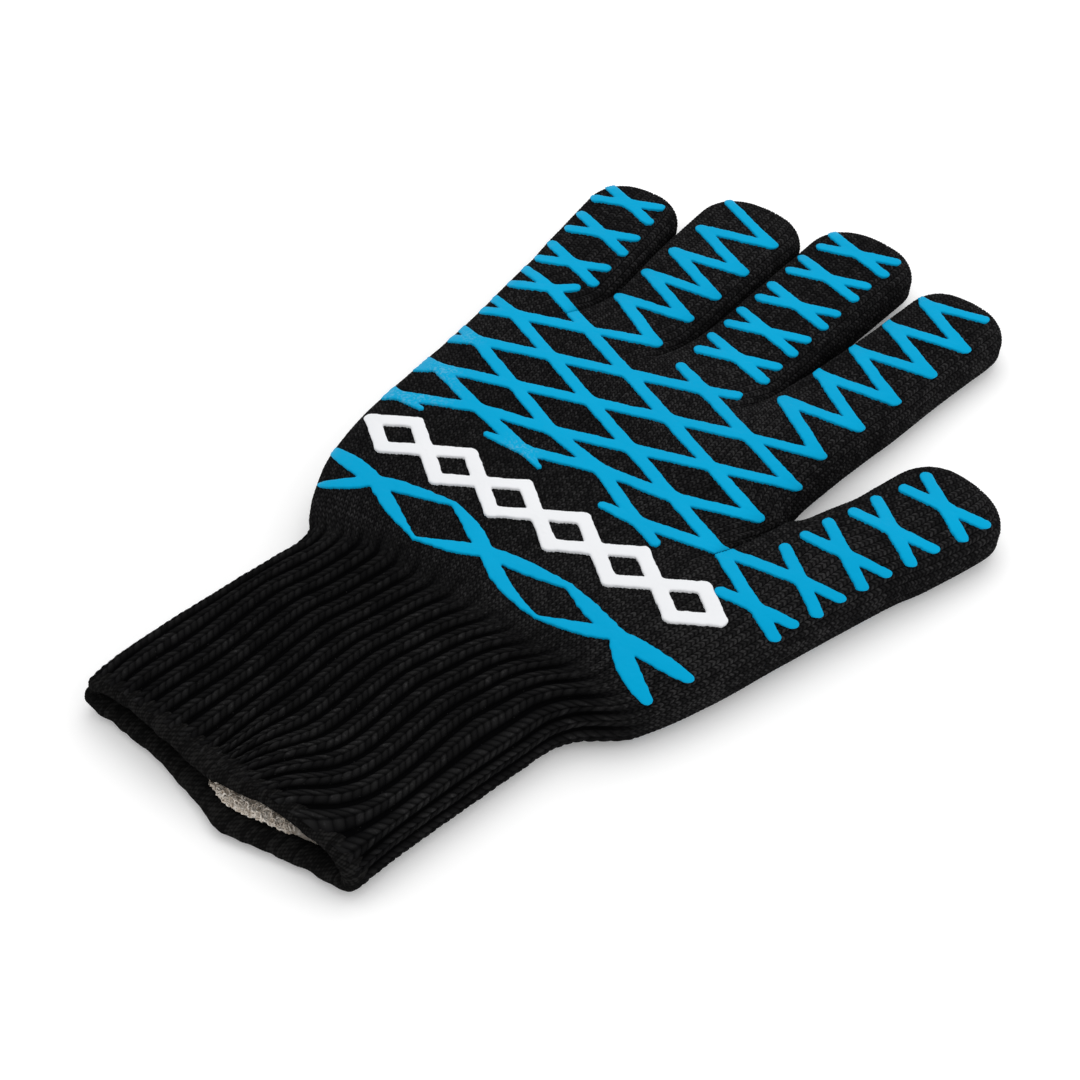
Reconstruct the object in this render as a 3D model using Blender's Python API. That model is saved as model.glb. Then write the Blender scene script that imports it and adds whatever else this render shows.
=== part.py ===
"""Heat resistant glove, flat on a table: knitted shell, terry liner, ribbed cuff, bound hem
and raised silicone print.

Frame: +X towards the thumb, +Y towards the fingertips, +Z up. The table is z = 0 and the
origin is the middle of the glove's footprint. The plan is drawn in pattern units, with its
own origin; place() moves it into the frame. Heights and walls are in metres. In the pattern,
left is -X and right is +X.

Every bending line is a hinge at mid thickness. The pieces on both sides of it are cut back
in a V above the axis, where the cloth of a real glove bunches up.
"""
import math
from typing import NamedTuple

import bmesh
import bpy

UNIT = 0.024  # one pattern unit in metres, half the width of a lozenge of the palm print
ORIGIN_X, ORIGIN_Y = 2.942, -3.1825  # pattern coordinates of the frame's origin

# Layers, in metres
FLOOR = 0.0013  # underside of the knit; the underside print fills the space below it
KNIT = 0.0022  # wall of the knitted shell
SLIP = 0.0003  # clearance between two layers
LINER = 0.0025  # wall of the terry liner
LINER_OUTSIDE = KNIT + SLIP
LINER_INSIDE = LINER_OUTSIDE + LINER

# Superellipse exponents of every section, above and below its middle
TOP_EXPONENT, LOW_EXPONENT = 2.7, 5.0
BODY_SIDES, STALL_SIDES = 28, 16

# Colours, linear RGB
BLACK = (0.012, 0.012, 0.013)
RIB = (0.013, 0.013, 0.014)
HEM = (0.016, 0.016, 0.017)
CREAM = (0.56, 0.47, 0.37)
BLUE = (0.0, 0.385, 0.70)
WHITE = (0.86, 0.87, 0.89)
CLOTH_ROUGHNESS, SILICONE_ROUGHNESS = 0.95, 0.45

# Palm and cuff: (y, left edge, right edge, thickness in metres)
BODY = [
    (-9.58, 0.55, 4.87, 0.0178),
    (-8.50, 0.60, 4.93, 0.0174),
    (-7.20, 0.70, 5.05, 0.0170),
    (-6.60, 0.72, 5.15, 0.0175),
    (-6.15, 0.70, 5.45, 0.0185),
    (-5.70, 0.30, 5.80, 0.0195),
    (-5.00, -0.09, 6.03, 0.0208),
    (-4.08, -0.29, 6.00, 0.0213),
    (-3.00, -0.42, 5.85, 0.0213),
    (-2.30, -0.50, 5.25, 0.0210),
    (-1.30, -0.63, 5.00, 0.0205),
    (-0.50, -0.80, 5.00, 0.0190),
    (-0.06, -0.78, 4.96, 0.0168),
]


class Axis(NamedTuple):
    """Middle line of a finger or thumb in the pattern."""
    x_at_zero: float
    lean: float  # dx/dy

    def at(self, y):
        return self.x_at_zero + self.lean * y


class Finger(NamedTuple):
    axis: Axis
    half_width: float
    knuckle_y: float  # hinge next to the palm
    middle_y: float  # hinge halfway up the finger
    tip_y: float
    middle_limit: float  # largest bend of the middle hinge, degrees


FINGERS = {
    "pinky": Finger(Axis(-0.28, -0.200), 0.62, 0.58, 1.44, 2.36, 75),
    "ring": Finger(Axis(1.06, -0.065), 0.70, 0.65, 1.85, 3.16, 80),
    "middle": Finger(Axis(2.68, -0.035), 0.743, 0.50, 1.95, 3.56, 80),
    "index": Finger(Axis(4.30, 0.070), 0.75, 0.50, 1.75, 3.20, 80),
}
FINGER_THICKNESS = 0.0160
FINGER_ROOT_Y = -1.2  # inside the palm
FINGER_STEM_YS = (FINGER_ROOT_Y, 0.2, 1.1)  # stations of full width
# (distance back from the tip, share of the half width, share of the thickness)
FINGER_TIP = [(0.50, 1, 1), (0.22, 0.88, 0.93), (0.06, 0.62, 0.74), (0, 0.34, 0.46)]

THUMB_AXIS = Axis(6.504, 0.180)
THUMB_THICKNESS = 0.0170
THUMB_HALF_WIDTH = 0.74
# (y, half width)
THUMB_STEM = [(-5.2, 0.28), (-4.4, 0.47), (-3.4, 0.58), (-2.2, 0.66), (-1.0, THUMB_HALF_WIDTH)]
# (distance back from the tip, half width, share of the thickness)
THUMB_TIP = [(0.45, THUMB_HALF_WIDTH, 1), (0.20, 0.64, 0.93), (0.05, 0.45, 0.74), (0, 0.25, 0.48)]
THUMB_TIP_Y = -0.04
INNER_TIP_FILL = 0.12  # share of a tip's thinning that inset surfaces leave out

# Bending lines: places in the pattern, largest bends in degrees
THUMB_CROTCH = (5.10, -2.30)
FOLD_NORMAL = (0.832, 0.555)  # plan normal of the line where the thumb folds over the palm
FOLD_DISTANCE = 0.45  # from the crotch to the fold line
THUMB_JOINT_Y = -0.95
WRIST_Y = -6.85
WRIST_THICKNESS = 0.0171
FINGER_HINGE_Z = FLOOR + FINGER_THICKNESS / 2
THUMB_HINGE_Z = FLOOR + THUMB_THICKNESS / 2
WRIST_HINGE_Z = FLOOR + WRIST_THICKNESS / 2
KNUCKLE_LIMIT, FOLD_LIMIT, THUMB_LIMIT, WRIST_LIMIT = 70, 45, 60, 40
SPARE_ANGLE = 1.5  # degrees that each side of a V leans beyond half the limit
HALF_SLIT = 0.0003  # half the plain slit at and below a hinge axis


# ---- basic tools
def place(x, y, z):
    """Pattern coordinates and a height in metres, moved into the frame."""
    return ((x - ORIGIN_X) * UNIT, (y - ORIGIN_Y) * UNIT, z)


def mesh_object(name, verts, faces):
    mesh = bpy.data.meshes.new(name)
    mesh.from_pydata(verts, [], faces)
    bm = bmesh.new()
    bm.from_mesh(mesh)
    bmesh.ops.recalc_face_normals(bm, faces=bm.faces)
    if bm.calc_volume(signed=True) < 0:
        bmesh.ops.reverse_faces(bm, faces=bm.faces)
    bm.to_mesh(mesh)
    bm.free()
    obj = bpy.data.objects.new(name, mesh)
    bpy.context.scene.collection.objects.link(obj)
    return obj


def finish(obj, color, roughness):
    """Give an object its own material, named after it."""
    material = bpy.data.materials.new("mat_" + obj.name)
    material.use_nodes = True
    inputs = material.node_tree.nodes["Principled BSDF"].inputs
    inputs["Base Color"].default_value = (*color, 1)
    inputs["Roughness"].default_value = roughness
    inputs["Metallic"].default_value = 0
    obj.data.materials.clear()
    obj.data.materials.append(material)


def closed_body(name, rings, triangles=False):
    """A capped body through rings of equally many points."""
    count = len(rings[0])
    faces = [list(range(count))]
    for r in range(len(rings) - 1):
        low, high = r * count, (r + 1) * count
        for i in range(count):
            j = (i + 1) % count
            if triangles:
                faces.append([low + i, low + j, high + j])
                faces.append([low + i, high + j, high + i])
            else:
                faces.append([low + i, low + j, high + j, high + i])
    last = (len(rings) - 1) * count
    faces.append([last + i for i in reversed(range(count))])
    return mesh_object(name, [point for ring in rings for point in ring], faces)


def combine(name, base, others, operation):
    """A new object: base with the others joined, cut away or intersected. The inputs stay."""
    obj = bpy.data.objects.new(name, base.data.copy())
    bpy.context.scene.collection.objects.link(obj)
    for other in others:
        modifier = obj.modifiers.new("join", "BOOLEAN")
        modifier.operation = operation
        modifier.solver = "EXACT"
        modifier.object = other
        graph = bpy.context.evaluated_depsgraph_get()
        result = bpy.data.meshes.new_from_object(obj.evaluated_get(graph), depsgraph=graph)
        obj.modifiers.clear()
        obj.data = result
    return obj


def remove(*objects):
    for obj in objects:
        bpy.data.objects.remove(obj, do_unlink=True)


# ---- the bag: one closed form at any inset, of palm, cuff and five stalls
def section(x, y, half_width, half_height, mid_z, sides):
    """One closed section at a pattern point; half sizes in metres."""
    def signed_power(value, exponent):
        return math.copysign(abs(value) ** (2 / exponent), value)

    center_x, center_y, _ = place(x, y, mid_z)
    points = []
    for i in range(sides):
        angle = 2 * math.pi * i / sides
        exponent = TOP_EXPONENT if math.sin(angle) >= 0 else LOW_EXPONENT
        points.append((
            center_x + half_width * signed_power(math.cos(angle), exponent),
            center_y,
            mid_z + half_height * signed_power(math.sin(angle), exponent),
        ))
    return points


def loft(name, rows, inset, sides):
    """A closed body through (x, y, half width, thickness) rows, inset all round in metres."""
    rings = [
        section(x, y, half_width * UNIT - inset, thickness / 2 - inset,
                FLOOR + thickness / 2, sides)
        for x, y, half_width, thickness in rows
    ]
    # Triangles, always split the same way, keep the layers of the wall inside one another.
    return closed_body(name, rings, triangles=True)


def stall_rows(axis, stem, tip, tip_y, thickness, inset):
    """Rows of a finger or thumb from (y, half width) of the stem and the shape of its tip."""
    end = tip_y - inset / UNIT
    rows = [(y, half_width, 1) for y, half_width in stem]
    rows += [(end - back, half_width, share) for back, half_width, share in tip]
    fill = INNER_TIP_FILL if inset else 0
    return [
        (axis.at(y), y, half_width, thickness * (share + fill * (1 - share)))
        for y, half_width, share in rows
    ]


def finger_stall(key, inset):
    finger = FINGERS[key]
    half_width = finger.half_width
    stem = [(y, half_width) for y in FINGER_STEM_YS]
    tip = [(back, half_width * width, share) for back, width, share in FINGER_TIP]
    rows = stall_rows(finger.axis, stem, tip, finger.tip_y, FINGER_THICKNESS, inset)
    return loft("work_" + key, rows, inset, STALL_SIDES)


def thumb_stall(inset):
    rows = stall_rows(THUMB_AXIS, THUMB_STEM, THUMB_TIP, THUMB_TIP_Y, THUMB_THICKNESS, inset)
    return loft("work_thumb", rows, inset, STALL_SIDES)


def palm_and_cuff(inset, overshoot):
    rows = [((a + b) / 2, y, (b - a) / 2, thickness) for y, a, b, thickness in BODY]
    x, y, half_width, thickness = rows[0]
    rows[0] = (x, y - overshoot, half_width, thickness)
    x, y, half_width, thickness = rows[-1]
    rows[-1] = (x, y - inset / UNIT, half_width, thickness)
    return loft("work_body", rows, inset, BODY_SIDES)


def bag(name, inset, overshoot=0.0):
    """The whole glove as a solid; overshoot carries it past the cuff's open end."""
    body = palm_and_cuff(inset, overshoot)
    stalls = [finger_stall(key, inset) for key in FINGERS] + [thumb_stall(inset)]
    whole = combine(name, body, stalls, "UNION")
    remove(body, *stalls)
    return whole


# ---- cutters for the bending lines, each a prism whose hinge side leans back above the axis
CUTTER_LOW, CUTTER_HIGH = -0.004, 0.032  # heights of the prisms' ends
FINGER_CUTTER_MARGIN = 0.0005  # metres beyond a finger's side
FINGER_CUTTER_OVERRUN = 0.3  # beyond a finger's tip
THUMB_CUTTER_LEFT, THUMB_CUTTER_RIGHT = 5.26, 8.6
THUMB_CUTTER_TOP_Y = 0.6
# Reach from the thumb joint: along the thumb, to its right, and to its left for each part
JOINT_ALONG, JOINT_RIGHT = 1.6, 1.6
BASE_JOINT_LEFT, TIP_JOINT_LEFT = -1.05, -1.0
WRIST_CUTTER_LEFT, WRIST_CUTTER_RIGHT, WRIST_CUTTER_END_Y = -2, 8, -12


def setbacks(axis_z, limit):
    """(height, distance of a V's side from its hinge line in pattern units), from below."""
    slope = math.tan(math.radians(limit / 2 + SPARE_ANGLE))
    slit = HALF_SLIT / UNIT
    opening = (HALF_SLIT + (CUTTER_HIGH - axis_z) * slope) / UNIT
    return [(CUTTER_LOW, slit), (axis_z, slit), (CUTTER_HIGH, opening)]


def prism(name, levels):
    """A closed body through plan polygons at rising heights: (z, [(x, y), ...])."""
    return closed_body(name, [[place(x, y, z) for x, y in outline] for z, outline in levels])


def finger_cutters(finger):
    """Cutters that free the finger from the hand, and keep its base and its tip."""
    side = finger.half_width + FINGER_CUTTER_MARGIN / UNIT
    far = finger.tip_y + FINGER_CUTTER_OVERRUN
    knuckle_y, middle_y = finger.knuckle_y, finger.middle_y

    def strip(low, high):
        low_x, high_x = finger.axis.at(low), finger.axis.at(high)
        return [(low_x - side, low), (low_x + side, low),
                (high_x + side, high), (high_x - side, high)]

    knuckle = setbacks(FINGER_HINGE_Z, KNUCKLE_LIMIT)
    middle = setbacks(FINGER_HINGE_Z, finger.middle_limit)
    away = prism("cut_away", [(z, strip(knuckle_y - back, far)) for z, back in knuckle])
    base = prism("cut_base", [
        (z, strip(knuckle_y + low_back, middle_y - high_back))
        for (z, low_back), (_, high_back) in zip(knuckle, middle)
    ])
    tip = prism("cut_tip", [(z, strip(middle_y + back, far)) for z, back in middle])
    return away, base, tip


def fold_point(x, back):
    """Where the thumb's fold line, moved along its normal by back, crosses a pattern x."""
    distance = FOLD_DISTANCE + back
    rise = (distance - (x - THUMB_CROTCH[0]) * FOLD_NORMAL[0]) / FOLD_NORMAL[1]
    return (x, THUMB_CROTCH[1] + rise)


def joint_point(along, right):
    """Pattern point at distances from the thumb joint, along the thumb and to its right."""
    norm = math.hypot(THUMB_AXIS.lean, 1)
    along_x, along_y = THUMB_AXIS.lean / norm, 1 / norm
    return (THUMB_AXIS.at(THUMB_JOINT_Y) + along_x * along + along_y * right,
            THUMB_JOINT_Y + along_y * along - along_x * right)


def thumb_cutters():
    """Cutters that free the thumb from the hand, and keep its base and its tip."""
    left, right, top = THUMB_CUTTER_LEFT, THUMB_CUTTER_RIGHT, THUMB_CUTTER_TOP_Y
    fold = setbacks(THUMB_HINGE_Z, FOLD_LIMIT)
    joint = setbacks(THUMB_HINGE_Z, THUMB_LIMIT)
    away = prism("cut_away", [
        (z, [fold_point(left, -back), fold_point(right, -back), (right, top), (left, top)])
        for z, back in fold
    ])
    base = prism("cut_base", [
        (z, [fold_point(left, fold_back), fold_point(right, fold_back),
             joint_point(-joint_back, JOINT_RIGHT), joint_point(-joint_back, BASE_JOINT_LEFT)])
        for (z, fold_back), (_, joint_back) in zip(fold, joint)
    ])
    tip = prism("cut_tip", [
        (z, [joint_point(back, TIP_JOINT_LEFT), joint_point(back, JOINT_RIGHT),
             joint_point(JOINT_ALONG, JOINT_RIGHT), joint_point(JOINT_ALONG, TIP_JOINT_LEFT)])
        for z, back in joint
    ])
    return away, base, tip


def wrist_cutters():
    """Cutters that free the cuff from the hand, and keep the cuff."""
    left, right, end = WRIST_CUTTER_LEFT, WRIST_CUTTER_RIGHT, WRIST_CUTTER_END_Y

    def region(name, direction):
        return prism(name, [
            (z, [(left, end), (right, end),
                 (right, WRIST_Y + direction * back), (left, WRIST_Y + direction * back)])
            for z, back in setbacks(WRIST_HINGE_Z, WRIST_LIMIT)
        ])

    return region("cut_away", 1), region("cut_cuff", -1)


# ---- shell and liner
BAG_OVERSHOOT = 0.2  # how far the hollow runs past the cuff's end


def cloth_layer(prefix, cuff_name, outside, inside, color, cuff_color, stall_cutters, wrist):
    """One layer between two insets of the bag, cut into hand, stall parts and cuff."""
    outer = bag("work_outer", outside)
    inner = bag("work_inner", inside, BAG_OVERSHOOT)
    wall = combine("work_wall", outer, [inner], "DIFFERENCE")
    wrist_away, cuff_region = wrist
    aways = [away for away, _, _ in stall_cutters.values()] + [wrist_away]
    hand = combine(prefix + "_hand", wall, aways, "DIFFERENCE")
    finish(hand, color, CLOTH_ROUGHNESS)
    for key, (_, base, tip) in stall_cutters.items():
        for part, region in (("base", base), ("tip", tip)):
            piece = combine(f"{prefix}_{key}_{part}", wall, [region], "INTERSECT")
            finish(piece, color, CLOTH_ROUGHNESS)
    cuff = combine(cuff_name, wall, [cuff_region], "INTERSECT")
    finish(cuff, cuff_color, CLOTH_ROUGHNESS)
    remove(outer, inner, wall)


def build_cloth():
    stall_cutters = {key: finger_cutters(finger) for key, finger in FINGERS.items()}
    stall_cutters["thumb"] = thumb_cutters()
    wrist = wrist_cutters()
    cloth_layer("shell", "rib_cuff", 0.0, KNIT, BLACK, RIB, stall_cutters, wrist)
    cloth_layer("liner", "liner_cuff", LINER_OUTSIDE, LINER_INSIDE, CREAM, CREAM,
                stall_cutters, wrist)
    remove(*wrist, *[cutter for group in stall_cutters.values() for cutter in group])


# ---- hem binding: a rolled band just past the ends of cuff and liner
# (y, how far the band stands out from the cuff's end section, in metres)
HEM_ROWS = [(-9.605, 0.0), (-9.66, 0.0009), (-9.80, 0.0011), (-9.90, 0.0006), (-9.925, -0.0006)]
HEM_RISE_LIMIT = 0.0009  # most that the band stands out upwards and downwards
HEM_MOUTH_INSET = LINER_INSIDE + 0.0002
HEM_OVERSHOOT = 0.1  # how far the mouth's cutter runs past each end


def hem_solid(name, rows, inset):
    _, left, right, thickness = BODY[0]
    return closed_body(name, [
        section((left + right) / 2, y,
                ((right - left) / 2 + (out - inset) / UNIT) * UNIT,
                thickness / 2 + min(out, HEM_RISE_LIMIT) - inset,
                FLOOR + thickness / 2, BODY_SIDES)
        for y, out in rows
    ])


def build_hem():
    ys = [y for y, _ in HEM_ROWS]
    ys[0] += HEM_OVERSHOOT
    ys[-1] -= HEM_OVERSHOOT
    band = hem_solid("work_band", HEM_ROWS, 0.0)
    mouth = hem_solid("work_mouth", [(y, 0) for y in ys], HEM_MOUTH_INSET)
    finish(combine("hem_binding", band, [mouth], "DIFFERENCE"), HEM, CLOTH_ROUGHNESS)
    remove(band, mouth)


# ---- raised print: lines of silicone joined at their crossings
PRINT_THICKNESS = 0.0009  # silicone above the cloth
LINE_WIDTH = 0.0042
WRIST_LINE_WIDTH = 0.0050
BLUNT_SHARE = 0.95  # reach of the extra corner outside a bend, as a share of half the width
STRAIGHT_TOLERANCE, BEND_TOLERANCE = 1e-6, 1e-3  # radians under and over a half turn
THUMB_PRINT_FROM_Y = -4.4  # the thumb's own top counts between here and y = 0
THUMB_PRINT_HALF = 0.7  # and this far to each side of its axis


def dome(x, mid_x, half_width, thickness):
    """Height of a section's top at x."""
    offset = min(abs(x - mid_x) / half_width, 1.0)
    rise = (1 - offset ** TOP_EXPONENT) ** (1 / TOP_EXPONENT)
    return FLOOR + thickness / 2 + thickness / 2 * rise


def body_top(x, y):
    for (y0, left0, right0, thick0), (y1, left1, right1, thick1) in zip(BODY, BODY[1:]):
        if y0 <= y <= y1:
            share = (y - y0) / (y1 - y0)
            left = left0 + (left1 - left0) * share
            right = right0 + (right1 - right0) * share
            thickness = thick0 + (thick1 - thick0) * share
            return dome(x, (left + right) / 2, (right - left) / 2, thickness)
    return FLOOR


def cloth_top(x, y):
    """Height of the knit above the table at a pattern point."""
    heights = [body_top(x, y)]
    if y > FINGER_ROOT_Y:
        for finger in FINGERS.values():
            mid_x = finger.axis.at(y)
            if abs(x - mid_x) < finger.half_width:
                heights.append(dome(x, mid_x, finger.half_width, FINGER_THICKNESS))
    mid_x = THUMB_AXIS.at(y)
    if THUMB_PRINT_FROM_Y < y < 0 and abs(x - mid_x) < THUMB_PRINT_HALF:
        heights.append(dome(x, mid_x, THUMB_HALF_WIDTH, THUMB_THICKNESS))
    return max(heights)


def junction(x, y, headings, half):
    """Outline of the pad where lines meet, and each line's (left, right) corners in it."""
    outline = []

    def corner(reach, heading):
        outline.append((x + reach * math.cos(heading), y + reach * math.sin(heading)))
        return len(outline) - 1

    if len(headings) == 1:  # a rounded free end
        for turn in (0.5, 0.75, 1, 1.25, 1.5):
            corner(half, headings[0] + math.pi * turn)
        return outline, [(0, 4)]
    left, right = [0] * len(headings), [0] * len(headings)
    for i, heading in enumerate(headings):
        following = (i + 1) % len(headings)
        gap = (headings[following] - heading) % (2 * math.pi)
        if gap < math.pi - STRAIGHT_TOLERANCE:  # mitre
            left[i] = right[following] = corner(half / math.sin(gap / 2), heading + gap / 2)
            continue
        left[i] = right[following] = corner(half, heading + math.pi / 2)
        if gap > math.pi + BEND_TOLERANCE:
            corner(half * BLUNT_SHARE, heading + gap / 2)
            right[following] = corner(half, headings[following] - math.pi / 2)
    return outline, list(zip(left, right))


def line_plan(points, edges, width, steps):
    """Plan points and faces of lines along the edges, each cut into this many steps."""
    arms = {key: [] for key in points}
    for a, b in edges:
        arms[a].append(b)
        arms[b].append(a)
    plan, faces, corners = [], [], {}
    for key, (x, y) in points.items():
        def heading(other):
            return math.atan2(points[other][1] - y, points[other][0] - x)

        ring = sorted(arms[key], key=heading)
        outline, ends = junction(x, y, [heading(other) for other in ring], width / 2 / UNIT)
        start = len(plan)
        plan += outline
        faces.append(list(range(start, len(plan))))
        for other, (left, right) in zip(ring, ends):
            corners[key, other] = (start + left, start + right)
    for a, b in edges:
        a_left, a_right = corners[a, b]
        b_left, b_right = corners[b, a]
        rungs = [(a_left, a_right)]
        for step in range(1, steps):
            share = step / steps
            for p, q in ((a_left, b_right), (a_right, b_left)):
                (px, py), (qx, qy) = plan[p], plan[q]
                plan.append((px + (qx - px) * share, py + (qy - py) * share))
            rungs.append((len(plan) - 2, len(plan) - 1))
        rungs.append((b_right, b_left))
        for near, far in zip(rungs, rungs[1:]):
            faces.append([near[1], near[0], far[0], far[1]])
    return plan, faces


def printed_lines(name, pattern, above=True, width=LINE_WIDTH, color=BLUE, steps=2):
    """One body of lines along a pattern (points by key, edges between keys), on or under it."""
    plan, faces = line_plan(*pattern, width, steps)
    if above:
        bottoms = [cloth_top(x, y) + SLIP for x, y in plan]
        tops = [z + PRINT_THICKNESS for z in bottoms]
    else:
        bottoms = [0.0] * len(plan)
        tops = [FLOOR - SLIP] * len(plan)
    verts = [place(x, y, z) for heights in (bottoms, tops) for (x, y), z in zip(plan, heights)]
    count = len(plan)
    uses = {}
    for face in faces:
        for v, w in zip(face, face[1:] + face[:1]):
            uses.setdefault((min(v, w), max(v, w)), []).append((v, w))
    solid = [[v + count for v in face] for face in faces]
    solid += [list(reversed(face)) for face in faces]
    # An edge used once is on the outline and gets a side wall.
    for directions in uses.values():
        if len(directions) == 1:
            v, w = directions[0]
            solid.append([v, w, w + count, v + count])
    finish(mesh_object(name, verts, solid), color, SILICONE_ROUGHNESS)


# ---- print patterns
LOZENGE_HALF_HEIGHT = 0.3885
LATTICE_RIGHT = 4.80  # x of the last column, short of its full unit
# Rows with a crossing, for each column from the left; row numbers count down the palm
LATTICE_ROWS = [(2, 4, 6, 8, 10), (3, 5, 7, 9), (4, 6, 8, 10), (3, 5, 7, 9), (4, 6, 8, 10), (5, 7, 9)]

WRIST_POINTS = {
    "left_high": (0.25, -5.22), "left_low": (0.55, -5.66),
    "cross_1": (0.95, -5.30), "high_1": (2.0, -4.95), "low_1": (2.05, -5.72),
    "cross_2": (2.85, -5.35), "high_2": (4.0, -5.05), "low_2": (4.05, -5.78),
    "cross_3": (4.95, -5.40), "right_high": (5.55, -5.12), "right_low": (5.45, -5.72),
}
WRIST_EDGES = [
    ("left_high", "cross_1"), ("left_low", "cross_1"),
    ("cross_1", "high_1"), ("cross_1", "low_1"), ("high_1", "cross_2"), ("low_1", "cross_2"),
    ("cross_2", "high_2"), ("cross_2", "low_2"), ("high_2", "cross_3"), ("low_2", "cross_3"),
    ("cross_3", "right_high"), ("cross_3", "right_low"),
]

MARK_COUNT = 6  # lozenges in the white row
MARK_LEFT, MARK_Y = 0.30, -4.46
MARK_PITCH, MARK_HALF_HEIGHT = 0.86, 0.29

WIDE_MOTIF, NARROW_MOTIF = 0.72, 0.62
MOTIF_TIP_GAP = 0.18  # from a finger's motif to its tip
MOTIF_HEIGHT = 0.0105  # height above a hinge axis at which motifs clear the V, in metres
CROSS_ARM = 0.36  # y extent of each arm as a share of the room
THUMB_BASE_YS, THUMB_TIP_YS = (-2.45, -1.42), (-0.61, -0.23)


def lattice():
    points = {
        (column, row): (min(column, LATTICE_RIGHT), -LOZENGE_HALF_HEIGHT * row)
        for column, rows in enumerate(LATTICE_ROWS) for row in rows
    }
    edges = [(a, b) for a in points for b in points if b[0] == a[0] + 1 and abs(b[1] - a[1]) == 1]
    return points, edges


def mark_row():
    """A row of lozenges, corner to corner."""
    points, edges = {}, []
    for i in range(MARK_COUNT + 1):
        points["joint", i] = (MARK_LEFT + MARK_PITCH * i, MARK_Y)
    for i in range(MARK_COUNT):
        x = MARK_LEFT + MARK_PITCH * (i + 0.5)
        for corner, side in (("high", 1), ("low", -1)):
            points[corner, i] = (x, MARK_Y + side * MARK_HALF_HEIGHT)
            edges += [(("joint", i), (corner, i)), ((corner, i), ("joint", i + 1))]
    return points, edges


def cross(axis, y_from, y_to, width):
    y = (y_from + y_to) / 2
    x, arm = axis.at(y), (y_to - y_from) * CROSS_ARM
    ends = {
        (side_x, side_y): (x + side_x * width / 2 + axis.lean * side_y * arm, y + side_y * arm)
        for side_x, side_y in ((-1, -1), (1, -1), (1, 1), (-1, 1))
    }
    return {"center": (x, y), **ends}, [("center", end) for end in ends]


def bar(axis, y_from, y_to, width):
    y = (y_from + y_to) / 2
    x = axis.at(y)
    return {0: (x - width / 2, y), 1: (x + width / 2, y)}, [(0, 1)]


def zigzag(axis, y_from, y_to, width):
    """Two strokes: from the left to the right and back."""
    points = {}
    for i, side in enumerate((-1, 1, -1)):
        y = y_from + (y_to - y_from) * i / 2
        points[i] = (axis.at(y) + side * width / 2, y)
    return points, [(0, 1), (1, 2)]


# (motif of the base, motif of the tip, width); only a bar fits between the pinky's hinges
FINGER_MOTIFS = {
    "pinky": (bar, cross, NARROW_MOTIF),
    "ring": (zigzag, zigzag, WIDE_MOTIF),
    "middle": (cross, cross, WIDE_MOTIF),
    "index": (zigzag, zigzag, WIDE_MOTIF),
}


def motif_setback(limit):
    """Distance in the pattern from a hinge line to the motif beside it."""
    slope = math.tan(math.radians(limit / 2 + SPARE_ANGLE))
    return (MOTIF_HEIGHT * slope + LINE_WIDTH / 2) / UNIT


def print_finger(prefix, key, above):
    finger = FINGERS[key]
    base_motif, tip_motif, width = FINGER_MOTIFS[key]
    base_from = finger.knuckle_y + motif_setback(KNUCKLE_LIMIT)
    middle_back = motif_setback(finger.middle_limit)
    base = base_motif(finger.axis, base_from, finger.middle_y - middle_back, width)
    tip = tip_motif(finger.axis, finger.middle_y + middle_back, finger.tip_y - MOTIF_TIP_GAP,
                    width)
    printed_lines(f"{prefix}_{key}_base", base, above)
    printed_lines(f"{prefix}_{key}_tip", tip, above)


def build_prints():
    for prefix, above in (("print", True), ("under", False)):
        printed_lines(prefix + "_palm_lattice", lattice(), above, steps=3)
        printed_lines(prefix + "_wrist_row", (WRIST_POINTS, WRIST_EDGES), above,
                      width=WRIST_LINE_WIDTH, steps=3)
        for key in FINGERS:
            print_finger(prefix, key, above)
        thumb_base = cross(THUMB_AXIS, *THUMB_BASE_YS, WIDE_MOTIF)
        thumb_tip = cross(THUMB_AXIS, *THUMB_TIP_YS, NARROW_MOTIF)
        printed_lines(prefix + "_thumb_base", thumb_base, above)
        printed_lines(prefix + "_thumb_tip", thumb_tip, above)
    printed_lines("print_mark_row", mark_row(), color=WHITE)


remove(*bpy.data.objects)
build_cloth()
build_hem()
build_prints()
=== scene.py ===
"""A knitted heat resistant glove with a silicone print and a terry lining, on a table.

It lies flat on z = 0: fingers to +Y, mouth of the cuff at -Y, thumb at +X, printed face up.
The cloth is one structured knit surface: every sample knows its wale (column of stitches) and
its course (row of stitches). The print is drawn as strokes on a flat pattern and dropped on to
that surface. Pattern coordinates x, y are in units of half a printed lozenge, U metres long;
heights are in metres.
"""

import math

import bpy
import numpy as np
from mathutils import Matrix, Vector


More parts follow.
